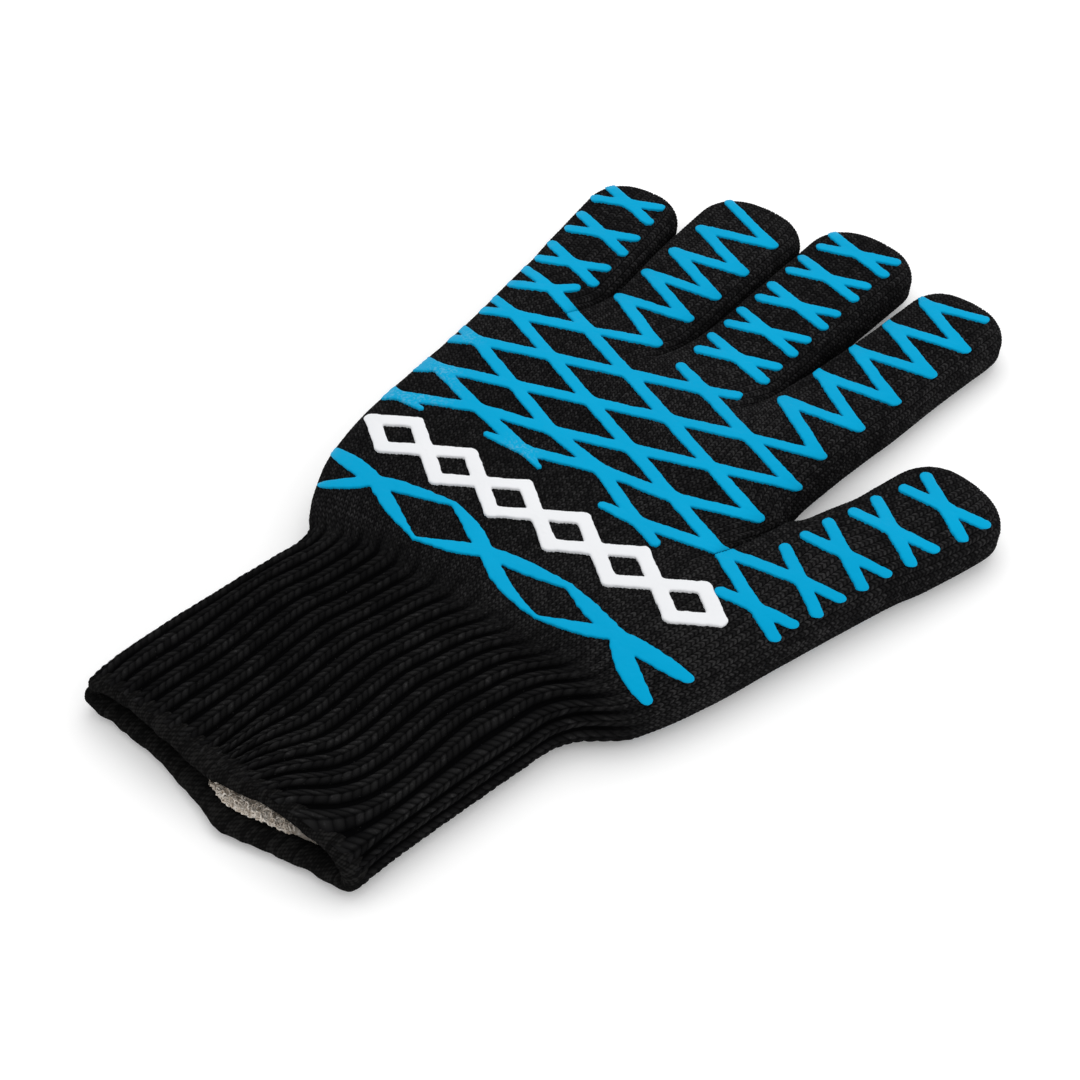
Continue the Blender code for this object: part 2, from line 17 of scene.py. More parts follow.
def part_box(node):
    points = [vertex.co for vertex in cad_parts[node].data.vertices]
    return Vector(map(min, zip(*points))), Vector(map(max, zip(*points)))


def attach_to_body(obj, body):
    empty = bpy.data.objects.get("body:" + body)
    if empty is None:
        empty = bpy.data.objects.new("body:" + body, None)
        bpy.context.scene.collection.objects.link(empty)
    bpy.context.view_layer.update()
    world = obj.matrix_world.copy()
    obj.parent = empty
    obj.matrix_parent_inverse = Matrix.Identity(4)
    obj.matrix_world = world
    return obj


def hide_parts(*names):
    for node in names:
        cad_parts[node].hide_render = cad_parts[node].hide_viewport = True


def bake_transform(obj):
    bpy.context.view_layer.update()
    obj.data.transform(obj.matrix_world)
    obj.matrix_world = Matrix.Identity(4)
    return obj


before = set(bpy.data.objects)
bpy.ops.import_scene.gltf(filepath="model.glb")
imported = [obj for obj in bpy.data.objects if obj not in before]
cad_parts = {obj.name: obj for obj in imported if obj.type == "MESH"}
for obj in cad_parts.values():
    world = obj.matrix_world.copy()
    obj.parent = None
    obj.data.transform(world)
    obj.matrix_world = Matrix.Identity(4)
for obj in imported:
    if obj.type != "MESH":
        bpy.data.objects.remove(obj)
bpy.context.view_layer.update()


def by_detail(full):
    return full


U = 0.024  # metres to a pattern unit
MID_X, MID_Y = 2.942, -3.1825  # pattern point over the frame's origin
FLOOR = 0.0013  # height of the cloth's underside, which rests on the lower print
PRINT_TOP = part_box("print_palm_lattice")[1].z

ROW = by_detail(0.000533) / U  # spacing of the mesh rows
COURSE = 0.0016 / U
HEM_Y = -9.62  # the ribs end under the hem's binding
THUMB_Y = -2.3  # where the thumb parts from the hand
CUFF_Y = -7.45
RIBS = 17
RIB_COURSE = 0.0024  # metres
STITCH_SLANT, RIB_SLANT = 0.62, 0.95  # courses a leg climbs from the middle of its V
RIB_HALF = 0.405  # half width of a rib's round column, as a share of the rib's pitch
CORD_FLOOR = 0.62  # least height of a cord near the middle of its wale

# the camera's axes
VIEW_RIGHT = (0.75908, 0.65100, 0.00149)
VIEW_UP = (-0.44583, 0.51817, 0.72989)
VIEW_BACK = (0.47439, -0.55470, 0.68357)


# ---------------------------------------------------------------- helpers
def smooth(start, end, value):
    """0 at start, 1 at end, with eased ends."""
    t = np.clip((np.asarray(value, float) - start) / (end - start), 0, 1)
    return t * t * (3 - 2 * t)


def curve(points):
    """A monotone cubic through (place, value) points, held at its ends."""
    places, values = np.array(points, float).T
    spans, slopes = np.diff(places), np.zeros(len(places))
    chords = np.diff(values) / spans
    same = chords[:-1] * chords[1:] > 0
    sums = np.where(same, chords[:-1] + chords[1:], 1)
    slopes[1:-1][same] = (2 * chords[:-1] * chords[1:] / sums)[same]
    slopes[0], slopes[-1] = chords[0], chords[-1]

    def at(place):
        place = np.clip(np.asarray(place, float), places[0], places[-1])
        i = np.clip(np.searchsorted(places, place, side="right") - 1, 0, len(spans) - 1)
        t = (place - places[i]) / spans[i]
        square, cube = t * t, t * t * t
        return (
            (2 * cube - 3 * square + 1) * values[i]
            + (cube - 2 * square + t) * spans[i] * slopes[i]
            + (3 * square - 2 * cube) * values[i + 1]
            + (cube - square) * spans[i] * slopes[i + 1]
        )

    return at


def noise(x, y, seed=0):
    """Smooth value noise in -1..1 with features one unit across."""
    x, y = np.asarray(x, float), np.asarray(y, float)
    i, j = np.floor(x).astype(np.int64), np.floor(y).astype(np.int64)
    u, v = x - i, y - j
    u, v = u * u * (3 - 2 * u), v * v * (3 - 2 * v)

    def at(column, row):
        n = (column * 374761393 + row * 668265263 + seed * 974634777) & 0x7FFFFFFF
        n = ((n ^ (n >> 13)) * 1274126177) & 0x7FFFFFFF
        return ((n ^ (n >> 16)) & 0xFFFF) / 32767.5 - 1

    near = at(i, j) * (1 - u) + at(i + 1, j) * u
    far = at(i, j + 1) * (1 - u) + at(i + 1, j + 1) * u
    return near * (1 - v) + far * v


def bell(x, y, centre_x, centre_y, wide, long):
    return np.exp(-(((x - centre_x) / wide) ** 2) - ((y - centre_y) / long) ** 2)


def superellipse(t, power):
    """1 at t = 0, falling to 0 at t = 1."""
    return np.power(np.clip(1 - t**power, 0, 1), 1 / power)


def edge_profile(distance, wide, power):
    """0 on an edge, 1 from `wide` inwards, rounded like a superellipse."""
    return superellipse(np.clip(1 - distance / wide, 0, 1), power)


def edge_power(low):
    return 4.6 if low else 2.5


def to_frame(x, y):
    return (x - MID_X) * U, (y - MID_Y) * U


def frame_points(points):
    """(pattern x, pattern y, metres) turned into metres throughout."""
    return np.stack([*to_frame(points[..., 0], points[..., 1]), points[..., 2]], -1)


def point(x, y):
    return (*to_frame(x, y), 0.0)


# ---------------------------------------------------------------- the glove's form
# outline of the hand and cuff: y, x
LEFT = curve([
    (-9.95, 0.42), (-9.5, 0.36), (-8.6, 0.42), (-7.4, 0.52), (-6.8, 0.59), (-6.40, 0.63),
    (-6.16, 0.58), (-5.95, 0.38), (-5.6, 0.12), (-5.0, -0.19), (-4.08, -0.42), (-2.28, -0.635),
    (-1.28, -0.785), (-0.5, -0.945), (0.0, -1.05),
])
RIGHT = curve([
    (-9.95, 4.74), (-9.2, 4.78), (-8.5, 4.85), (-7.2, 5.00), (-6.75, 5.06), (-6.45, 5.20),
    (-5.95, 5.72), (-5.0, 6.09), (-4.0, 6.33), (-3.0, 6.575), (-2.3, 6.76),
])
INDEX_SIDE = curve([
    (-2.3, 5.10), (-2.1, 5.03), (-1.8, 4.96), (-1.4, 4.93), (-0.7, 4.94), (0.0, 4.98),
])
# y, thickness in metres
THICK = curve([
    (-9.95, 0.0126), (-9.6, 0.0138), (-9.3, 0.0155), (-8.9, 0.0166), (-8.3, 0.0170),
    (-7.2, 0.0168), (-6.6, 0.0174), (-6.0, 0.0188), (-5.0, 0.0204), (-4.0, 0.0210),
    (-3.0, 0.0212), (-2.0, 0.0210), (-1.2, 0.0203), (-0.6, 0.0190), (0.0, 0.0174),
])
CROTCHES = (0.36, 1.87, 3.48)  # x where neighbouring fingers part, at y = 0
GAP_SLOPES = (-0.135, -0.045, 0.06)  # and how the gaps lean from there

# soft shapes of the upper face: height, centre x, centre y, width, length
SWELLINGS = (
    # the dent over the mouth of the cuff and the fold that runs from it
    (-0.0030, 2.55, -9.35, 0.55, 0.42),
    (0.0016, 3.25, -9.12, 0.42, 0.40),
    (0.0012, 3.3, -9.85, 0.9, 0.22),
    # the wrist at its -X side
    (-0.0012, 0.95, -6.35, 0.35, 0.5),
    # the web between index finger and thumb, and the root of the thumb
    (-0.0011, 4.6, -2.9, 0.5, 0.9),
    (0.0007, 5.2, -4.6, 0.7, 0.8),
)


def mid_z(thick):
    return FLOOR + 0.43 * thick


def puff(x, y):
    """Soft hollows and swellings of the upper face."""
    total = 0.00045 * noise(x * 0.9 + 3.1, y * 0.75 + 7.7, 1)
    total = total + 0.00022 * noise(x * 2.3, y * 1.9, 2)
    for height, *place in SWELLINGS:
        total = total + height * bell(x, y, *place)
    return total


def borders(y):
    """The x of the lines between the stalls' columns, for rows right across the hand."""
    left, right = LEFT(y), np.where(y > THUMB_Y, INDEX_SIDE(y), RIGHT(y))
    whole = smooth(THUMB_Y, THUMB_Y - 4.2, y)
    even = left + (RIGHT(np.minimum(y, THUMB_Y)) - left) * FIRST_WALE[4] / FIRST_WALE[5]
    tied = np.interp(y, [-6.5, THUMB_Y], [4.35, 5.10])
    fingers = np.where(y > THUMB_Y, right, tied * (1 - whole) + even * whole)
    steps = FIRST_WALE[1:4] / FIRST_WALE[4]
    down = smooth(0.0, -3.4, y)
    between = [
        crotch * (1 - down) + (left + (fingers - left) * step) * down
        for crotch, step in zip(CROTCHES, steps)
    ]
    return [left, *between, fingers, right]


def across(x, y, low):
    """Share of the full height on a row right across the hand, 0 at its two edges."""
    lines = borders(y)
    power = edge_power(low)
    at_fingers = smooth(-2.0, -0.0, y)
    at_wrist = smooth(-6.0, -7.0, y)
    wide_left = 1.05 - 0.42 * at_fingers - 0.25 * at_wrist
    wide_right = 1.15 - 0.40 * at_fingers - 0.35 * at_wrist
    share = edge_profile(x - lines[0], wide_left, power)
    share = share * edge_profile(lines[5] - x, wide_right, power)
    # the furrows between the fingers, then the one beside the thumb, fade out over the palm
    filled = 0.985 * smooth(0.0, -1.35, y) + 0.015 * smooth(-1.0, -2.6, y)
    for line in lines[1:4]:
        furrow = edge_profile(np.abs(x - line), 0.74, power)
        share = share * (filled + (1 - filled) * furrow)
    filled = np.where(y > THUMB_Y, 1.0, smooth(THUMB_Y, THUMB_Y - 1.7, y))
    furrow = edge_profile(np.abs(x - lines[4]), 0.78, power)
    return share * (filled + (1 - filled) * furrow)


def face_z(x, y, low):
    """Height of the hand's upper or lower face."""
    thick = THICK(y)
    mid = mid_z(thick)
    share = across(x, y, low)
    if low:
        return mid - (mid - FLOOR) * share
    return mid + (FLOOR + thick - mid) * share + puff(x, y) * np.minimum(share * 1.4, 1) ** 2


class Stall:
    """A finger or the thumb.

    Its own coordinates are t, from -1 to 1 across it, and s, the row measured on its centre
    line. The tables `left` and `right` are y, x of its edges; `seam` is the y that parts base
    from tip, and the two bends are y ranges at its joints.
    """

    def __init__(
        self, name, wales, tip, rounding, lean, thick, left, right,
        root=0.0, thick_run=0.5, join_run=0.5, seam=None, base_bend=None, tip_bend=None,
    ):
        self.name, self.wales, self.tip, self.rounding = name, wales, tip, rounding
        self.lean, self.thick, self.root = lean, thick, root
        self.thick_run, self.join_run = thick_run, join_run
        self.seam, self.base_bend, self.tip_bend = seam, base_bend, tip_bend
        self.left, self.right = curve(left), curve(right)

    def centre(self, y):
        return (self.left(y) + self.right(y)) / 2

    def half(self, y):
        return (self.right(y) - self.left(y)) / 2

    def tip_shape(self, s):
        """(share of width, share of thickness) along the rounded end."""
        t = np.clip((s - (self.tip - self.rounding)) / self.rounding, 0, 1)
        return superellipse(t, 2.35), superellipse(t, 2.7)

    def thickness(self, s):
        start = THICK(self.root)
        return start + (self.thick - start) * smooth(self.root, self.root + self.thick_run, s)

    def leaning(self, s):
        """How fully the rows have taken on the stall's lean."""
        return smooth(self.root, self.root + 0.7, s)

    def height(self, t, s, low):
        """Height of the upper or lower face."""
        high = self.tip_shape(s)[1]
        thick = self.thickness(s)
        mid = mid_z(thick)
        share = superellipse(np.abs(t), edge_power(low))
        x = self.centre(s) + t * self.half(s)
        if low:
            own = mid - (mid - FLOOR) * share * high
        else:
            start = smooth(self.root, self.root + 0.4, s)
            soft = 0.0003 * noise(x * 1.4 + 11, s * 1.6 + 5, 3)
            soft = soft + 0.0002 * noise(x * 3.1, s * 2.7, 4)
            relief = puff(x, s) * (1 - start) + soft * start
            own = mid + (FLOOR + thick - mid) * share * high
            own = own + relief * np.minimum(share * 1.4, 1) ** 2 * high
        # the stall grows out of the hand's own last row
        root_x = self.centre(self.root) + t * self.half(self.root)
        last = face_z(root_x, self.root + 0 * t, low)
        return last + (own - last) * smooth(self.root, self.root + self.join_run, s)

    def place(self, x, y):
        """(t, s) of pattern points; t goes past 1 outside the stall."""
        s = y
        for _ in range(2):
            s = y + self.leaning(s) * self.lean * (x - self.centre(s))
        s = np.minimum(s, self.tip - 0.004)
        wide = self.tip_shape(s)[0]
        return (x - self.centre(s)) / np.maximum(self.half(s) * wide, 1e-3), s


STALLS = [
    Stall(
        "pinky", wales=16, tip=2.49, rounding=0.60, lean=-0.200, thick=0.0170,
        left=[(0, -1.05), (0.5, -1.17), (1.5, -1.375), (2.45, -1.565)],
        right=[(0, 0.36), (0.12, 0.335), (0.5, 0.26), (1.5, 0.07), (2.45, -0.13)],
        seam=1.04, base_bend=(0.15, 1.02), tip_bend=(1.06, 1.82),
    ),
    Stall(
        "ring", wales=19, tip=3.28, rounding=0.66, lean=-0.070, thick=0.0172,
        left=[(0, 0.36), (0.12, 0.375), (0.5, 0.335), (1.5, 0.175), (2.5, 0.06), (3.2, -0.005)],
        right=[(0, 1.87), (0.1, 1.858), (0.5, 1.84), (1.5, 1.76), (2.5, 1.71), (3.2, 1.68)],
        seam=1.28, base_bend=(0.15, 1.15), tip_bend=(1.40, 2.30),
    ),
    Stall(
        "middle", wales=19, tip=3.69, rounding=0.66, lean=-0.045, thick=0.0172,
        left=[(0, 1.87), (0.1, 1.885), (0.5, 1.89), (1.5, 1.84), (3.0, 1.765), (3.6, 1.735)],
        right=[(0, 3.48), (0.1, 3.470), (0.5, 3.455), (1.5, 3.415), (3.0, 3.40), (3.6, 3.39)],
        seam=1.25, base_bend=(0.0, 1.0), tip_bend=(1.50, 2.40),
    ),
    Stall(
        "index", wales=19, tip=3.32, rounding=0.66, lean=0.080, thick=0.0168,
        left=[(0, 3.48), (0.1, 3.495), (0.5, 3.54), (1.5, 3.62), (2.7, 3.68), (3.25, 3.70)],
        right=[(0, 4.98), (0.5, 5.02), (1.5, 5.06), (2.7, 5.15), (3.25, 5.21)],
        seam=1.15, base_bend=(0.0, 1.0), tip_bend=(1.30, 2.20),
    ),
    Stall(
        "thumb", wales=19, tip=0.01, rounding=0.64, lean=0.180, thick=0.0176,
        left=[
            (-2.3, 5.10), (-2.18, 5.21), (-2.0, 5.30), (-1.5, 5.43), (-0.7, 5.58), (0, 5.72),
        ],
        right=[(-2.3, 6.76), (-2.0, 6.83), (-1.5, 6.97), (-0.7, 7.18), (0, 7.31)],
        root=THUMB_Y, thick_run=1.1, join_run=0.9,
    ),
]
FINGERS = STALLS[:4]
# number of the first wale of each stall, and the total
FIRST_WALE = np.concatenate([[0], np.cumsum([stall.wales for stall in STALLS])])


def finger_at(x, y):
    """Number of the finger whose strip between the gaps holds each point."""
    first, second, third = (
        crotch + slope * np.maximum(y, 0) for crotch, slope in zip(CROTCHES, GAP_SLOPES)
    )
    return (x > first).astype(int) + (x > second) + (x > third)


def surface(x, y):
    """(height of the upper face, room left to the outline in metres) at pattern points."""
    hand_y = np.minimum(y, 0)
    right = np.where(y > THUMB_Y, INDEX_SIDE(hand_y), RIGHT(y))
    z = face_z(np.clip(x, LEFT(y) + 0.01, right - 0.01), hand_y, False)
    room = np.minimum(x - LEFT(y), right - x) * U
    which = finger_at(x, y)
    masks = [(y >= 0) & (which == k) for k in range(4)]
    thumb_from = np.where(y < -1.2, 5.10 + 0.1 * (y - THUMB_Y), 5.25)
    masks.append((y > THUMB_Y) & (x > thumb_from) & (y < 0.6))
    for stall, on in zip(STALLS, masks):
        if on.any():
            t, s = stall.place(x[on], y[on])
            z[on] = stall.height(np.clip(t, -1, 1), s, False)
            room[on] = (1 - np.abs(t)) * stall.half(s) * stall.tip_shape(s)[0] * U
    return z, room


# ---------------------------------------------------------------- the cloth's grid
FAN = (1 - np.cos(np.linspace(0, math.pi, 97))) / 2  # samples across, closer at the edges


def by_length(xs, zs, parts):
    """Points at equal lengths along polylines; xs and zs are (rows, many)."""
    out = np.empty((len(xs), parts + 1, 2))
    for r in range(len(xs)):
        step = np.hypot(np.diff(xs[r]) * U, np.diff(zs[r]))
        run = np.concatenate([[0], np.cumsum(step)])
        want = np.linspace(0, run[-1], parts + 1)
        out[r, :, 0] = np.interp(want, run, xs[r])
        out[r, :, 1] = np.interp(want, run, zs[r])
        out[r, 0], out[r, -1] = (xs[r, 0], zs[r, 0]), (xs[r, -1], zs[r, -1])
    return out


def shared_rows(rows, stalls, low, per):
    """Samples, `per` to a wale, for rows across the first `stalls` stalls' columns.

    The result is (rows, samples, 3) with pattern x, pattern y and metres.
    """
    lines = borders(rows)
    mid = mid_z(THICK(rows))
    row_y = np.repeat(rows[:, None], len(FAN), 1)
    chunks = []
    for k in range(stalls):
        x = lines[k][:, None] + (lines[k + 1] - lines[k])[:, None] * FAN[None, :]
        z = face_z(x, row_y, low)
        if k == 0:
            z[:, 0] = mid
        if k == stalls - 1:
            z[:, -1] = mid
        at = by_length(x, z, STALLS[k].wales * per)
        chunks.append(at if k == 0 else at[:, 1:])
    at = np.concatenate(chunks, 1)
    return np.stack([at[..., 0], np.repeat(rows[:, None], at.shape[1], 1), at[..., 1]], -1)


def stall_rows(stall, low, per, first, row_step):
    """(samples of a stall, its rows); `first` is the root row's samples, kept to meet the hand."""
    round_from = stall.tip - stall.rounding
    straight = np.arange(stall.root, round_from, row_step)
    turn = np.linspace(0, math.pi / 2, max(8, int(stall.rounding * 1.35 / row_step)))[1:]
    s = np.concatenate([straight, round_from + stall.rounding * np.sin(turn)])
    s[-1] = stall.tip - 0.0004
    centre = stall.centre(s)[:, None]
    half, mid = stall.half(s) * stall.tip_shape(s)[0], mid_z(stall.thickness(s))
    t = 2 * FAN - 1
    z = stall.height(t[None, :], s[:, None], low)
    z[:, 0] = z[:, -1] = mid
    z[-1] = mid[-1]
    at = by_length(centre + half[:, None] * t[None, :], z, stall.wales * per)
    off = at[..., 0] - centre
    leaning = stall.leaning(s)[:, None]
    x = at[..., 0] - leaning * (1 - 1 / math.hypot(1, stall.lean)) * off
    y = s[:, None] - leaning * stall.lean * off
    out = np.stack([x, y, at[..., 1]], -1)
    out[0] = first
    return out, s


class Cloth:
    """A quad mesh put together from grids; samples that coincide become one vertex."""

    def __init__(self):
        self.points, self.stitches, self.quads, self.count = [], [], [], 0

    def add(self, grid, wales, rows, flip):
        shape = grid.shape[:2]
        ids = self.count + np.arange(shape[0] * shape[1]).reshape(shape)
        quads = np.stack([ids[:-1, :-1], ids[:-1, 1:], ids[1:, 1:], ids[1:, :-1]], -1)
        quads = quads.reshape(-1, 4)
        self.quads.append(quads[:, ::-1] if flip else quads)
        self.points.append(grid.reshape(-1, 3))
        wale = np.broadcast_to(wales[None, :], shape)
        course = np.broadcast_to((rows / COURSE)[:, None], shape)
        self.stitches.append(np.stack([wale, course], -1).reshape(-1, 2))
        self.count += shape[0] * shape[1]

    def done(self):
        points, stitches = np.concatenate(self.points), np.concatenate(self.stitches)
        key = np.round(points * np.array([U, U, 1]) * 2e6).astype(np.int64)
        _, first, index = np.unique(key, axis=0, return_index=True, return_inverse=True)
        quads = index.reshape(-1)[np.concatenate(self.quads)]
        return points[first], stitches[first], quads


def build_cloth(per_top, per_low, row_step):
    """The whole surface: (points in pattern x, y and metres; wale and course; quads)."""
    cloth = Cloth()
    count = int(round((THUMB_Y - HEM_Y) / row_step))
    hand_rows = THUMB_Y - (THUMB_Y - HEM_Y) * np.arange(count, -1, -1) / count
    count = int(round(-THUMB_Y / row_step))
    finger_rows = THUMB_Y * (1 - np.arange(0, count + 1) / count)
    for low, per in ((False, per_top), (True, per_low)):
        hand = shared_rows(hand_rows, 5, low, per)
        palm = shared_rows(finger_rows, 4, low, per)
        cut = FIRST_WALE[4] * per
        palm[0] = hand[-1, : cut + 1]
        wale = np.arange(hand.shape[1]) / per
        cloth.add(hand, wale, hand_rows, low)
        cloth.add(palm, wale[: cut + 1], finger_rows, low)
        for k, stall in enumerate(STALLS):
            columns = slice(FIRST_WALE[k] * per, FIRST_WALE[k + 1] * per + 1)
            first = (hand if stall.name == "thumb" else palm)[-1, columns]
            grid, rows = stall_rows(stall, low, per, first, row_step)
            cloth.add(grid, wale[columns], rows, low)
    return cloth.done()


def rib_share(x, y, low):
    """How far across the cuff its ribs put each point, 0..1.

    The ribs follow the columns and swerve round the dent over the mouth.
    """
    swerve = -0.62 * np.exp(-(((y + 9.75) / 0.62) ** 2))
    swerve = swerve * smooth(2.25, 3.0, x) * (1 - smooth(3.5, 4.75, x))
    sway = 0.07 * np.sin(y * 2.1 + 1.0) * smooth(-6.6, -7.4, y)
    swerve = swerve + sway * smooth(0, 0.5, x - 0.6) * smooth(0, 0.5, 4.9 - x)
    straight = np.where(low, x, x - swerve)
    left, right = LEFT(y), RIGHT(y)
    return np.clip((straight - left) / (right - left), 0, 1)


def stitch_height(wale, course):
    """Relief of plain knit, 0..1: each wale is two cords of slanting legs that meet in a V."""
    side = np.abs(2 * (wale - np.floor(wale)) - 1)
    cord = np.sqrt(np.clip(1 - (2 * side - 1) ** 4, 0, 1))
    cord = np.where(side < 0.5, CORD_FLOOR + (1 - CORD_FLOOR) * cord, cord)
    leg = np.abs(np.sin(math.pi * (course + STITCH_SLANT * side))) ** 0.7
    return cord * (0.42 + 0.58 * leg)


def rib_height(rib, course):
    """Relief of the rib knit, 0..1: a round column of large V stitches, then a recess."""
    off = np.abs(rib - np.floor(rib) - 0.5) / RIB_HALF
    side = np.clip(off, 0, 1)
    body = np.sqrt(np.clip(1 - side**2.4, 0, 1))
    leg = np.abs(np.sin(math.pi * (course + RIB_SLANT * side))) ** 0.6
    middle = 1 - 0.40 * np.exp(-((off / 0.15) ** 2))
    recess = 0.06 * np.abs(np.sin(math.pi * course)) * (off > 1)
    return body * (0.58 + 0.42 * leg) * middle + recess


# ---------------------------------------------------------------- meshes
def make_mesh(name, points, faces):
    """A smooth mesh; faces are an array of quads or a list of vertex lists."""
    mesh = bpy.data.meshes.new(name)
    mesh.vertices.add(len(points))
    mesh.vertices.foreach_set("co", np.ascontiguousarray(points, np.float32).ravel())
    sizes = np.array([len(face) for face in faces])
    flat = np.concatenate(faces)
    mesh.loops.add(len(flat))
    mesh.loops.foreach_set("vertex_index", np.ascontiguousarray(flat, np.int32))
    mesh.polygons.add(len(sizes))
    starts = np.concatenate([[0], np.cumsum(sizes)[:-1]]).astype(np.int32)
    mesh.polygons.foreach_set("loop_start", starts)
    mesh.update(calc_edges=True)
    mesh.validate(clean_customdata=False)
    mesh.polygons.foreach_set("use_smooth", np.ones(len(mesh.polygons), bool))
    mesh.update()
    return mesh


def put(name, mesh, material):
    obj = bpy.data.objects.new(name, mesh)
    bpy.context.scene.collection.objects.link(obj)
    mesh.materials.append(material)
    return obj


def normals_of(points, quads):
    normals = np.zeros_like(points)
    first, second, third, fourth = (points[quads[:, i]] for i in range(4))
    face_normals = np.cross(third - first, fourth - second)
    for i in range(4):
        np.add.at(normals, quads[:, i], face_normals)
    return normals / np.maximum(np.linalg.norm(normals, axis=1, keepdims=True), 1e-12)


def add_attribute(mesh, name, values):
    vector = values.ndim == 2
    data = mesh.attributes.new(name, "FLOAT_VECTOR" if vector else "FLOAT", "POINT").data
    flat = np.ascontiguousarray(values, np.float32).ravel()
    data.foreach_set("vector" if vector else "value", flat)


def tube_quads(rings, following):
    """Quads between closed rings of vertices and the rings that follow them."""
    corners = [rings, np.roll(rings, -1, 1), np.roll(following, -1, 1), following]
    return np.stack(corners, -1).reshape(-1, 4)


# ---------------------------------------------------------------- materials
class Value:
    """A shader output; arithmetic on it adds math nodes."""

    def __init__(self, graph, socket):
        self.graph, self.socket = graph, socket

    def op(self, operation, *others):
        return self.graph.math(operation, self, *others)

    def clamped(self):
        self.socket.node.use_clamp = True
        return self

    def __add__(self, other):
        return self.op("ADD", other)

    def __radd__(self, other):
        return self.graph.math("ADD", other, self)

    def __sub__(self, other):
        return self.op("SUBTRACT", other)

    def __rsub__(self, other):
        return self.graph.math("SUBTRACT", other, self)

    def __mul__(self, other):
        return self.op("MULTIPLY", other)

    def __truediv__(self, other):
        return self.op("DIVIDE", other)

    def __pow__(self, other):
        return self.op("POWER", other)

    def __abs__(self):
        return self.op("ABSOLUTE")


class Graph:
    """A new material with a Principled surface, and short words for its nodes."""

    def __init__(self, name):
        self.material = bpy.data.materials.new(name)
        self.material.use_nodes = True
        self.tree = self.material.node_tree
        self.tree.nodes.clear()
        out = self.tree.nodes.new("ShaderNodeOutputMaterial")
        self.bsdf = self.tree.nodes.new("ShaderNodeBsdfPrincipled")
        self.tree.links.new(self.bsdf.outputs[0], out.inputs[0])

    def plug(self, socket, value):
        if isinstance(value, Value):
            self.tree.links.new(value.socket, socket)
        else:
            socket.default_value = value

    def node(self, kind, inputs, output=0, **settings):
        node = self.tree.nodes.new("ShaderNode" + kind)
        for name, value in settings.items():
            setattr(node, name, value)
        for socket, value in inputs.items():
            self.plug(node.inputs[socket], value)
        return Value(self, node.outputs[output])

    def surface(self, inputs):
        """Sets the Principled inputs and returns the finished material."""
        for socket, value in inputs.items():
            self.plug(self.bsdf.inputs[socket], value)
        return self.material

    def math(self, operation, *operands):
        return self.node("Math", dict(enumerate(operands)), operation=operation)

    def attribute(self, name, output="Fac"):
        settings = {"attribute_type": "GEOMETRY", "attribute_name": name}
        return self.node("Attribute", {}, output, **settings)

    def split(self, vector):
        first = self.node("SeparateXYZ", {0: vector})
        return [Value(self, socket) for socket in first.socket.node.outputs]

    def join(self, x, y, z=0.0):
        return self.node("CombineXYZ", {0: x, 1: y, 2: z})

    def noise(self, vector, scale, detail, rough):
        inputs = {"Vector": vector, "Scale": scale, "Detail": detail, "Roughness": rough}
        return self.node("TexNoise", inputs, "Fac")

    def white(self, vector):
        return self.node("TexWhiteNoise", {"Vector": vector}, "Value", noise_dimensions="3D")

    def ramp(self, value, low, high, start=0.0, end=1.0):
        """Eases from start to end as the value goes from low to high."""
        inputs = dict(enumerate((value, low, high, start, end)))
        return self.node("MapRange", inputs, interpolation_type="SMOOTHSTEP")

    def mix(self, share, first, second):
        return self.node("Mix", {0: share, 2: first, 3: second}, data_type="FLOAT")

    def colour(self, share, first, second):
        return self.node("Mix", {0: share, 6: first, 7: second}, 2, data_type="RGBA")

    def bump(self, height, distance, strength):
        inputs = {"Strength": strength, "Distance": distance, "Height": height}
        return self.node("Bump", inputs)

    def where(self):
        return self.node("TexCoord", {}, "Object")


def ripple(value):
    """One round hump for every unit of the value."""
    return abs((value * math.pi).op("SINE"))


def plain_stitch(graph, wale, course):
    """The mesh's V relief again: (height, vector that identifies the leg, place along it)."""
    side = abs(wale.op("FRACT") * 2.0 - 1.0)
    along = course + side * STITCH_SLANT
    off = side * 2.0 - 1.0
    off = off * off
    cord = (1.0 - off * off).op("MAXIMUM", 0.0).op("SQRT")
    least = side.op("LESS_THAN", 0.5) * CORD_FLOOR
    cord = least + cord * (1.0 - least)
    leg = ripple(along) ** 0.75
    height = cord * (0.28 + leg * 0.72)
    return height, graph.join((wale * 2.0).op("FLOOR"), along.op("FLOOR")), along


def rib_stitch(graph, rib, course):
    """The ribs' large stitches: (height, leg's vector, place along it, place across)."""
    off = abs(rib.op("FRACT") - 0.5) / RIB_HALF
    side = off.op("MINIMUM", 1.0)
    along = course + side * RIB_SLANT
    leg = ripple(along) ** 0.6
    body = (1.0 - side**2.4).op("MAXIMUM", 0.0).op("SQRT")
    groove = 1.0 - (off * off * -44.0).op("EXPONENT") * 0.45
    height = body * groove * (0.42 + leg * 0.58)
    sign = (rib.op("FRACT") - 0.5).op("SIGN")
    leg_id = graph.join(rib.op("FLOOR") * 2.0 + sign, along.op("FLOOR"), 7.0)
    return height, leg_id, along, side


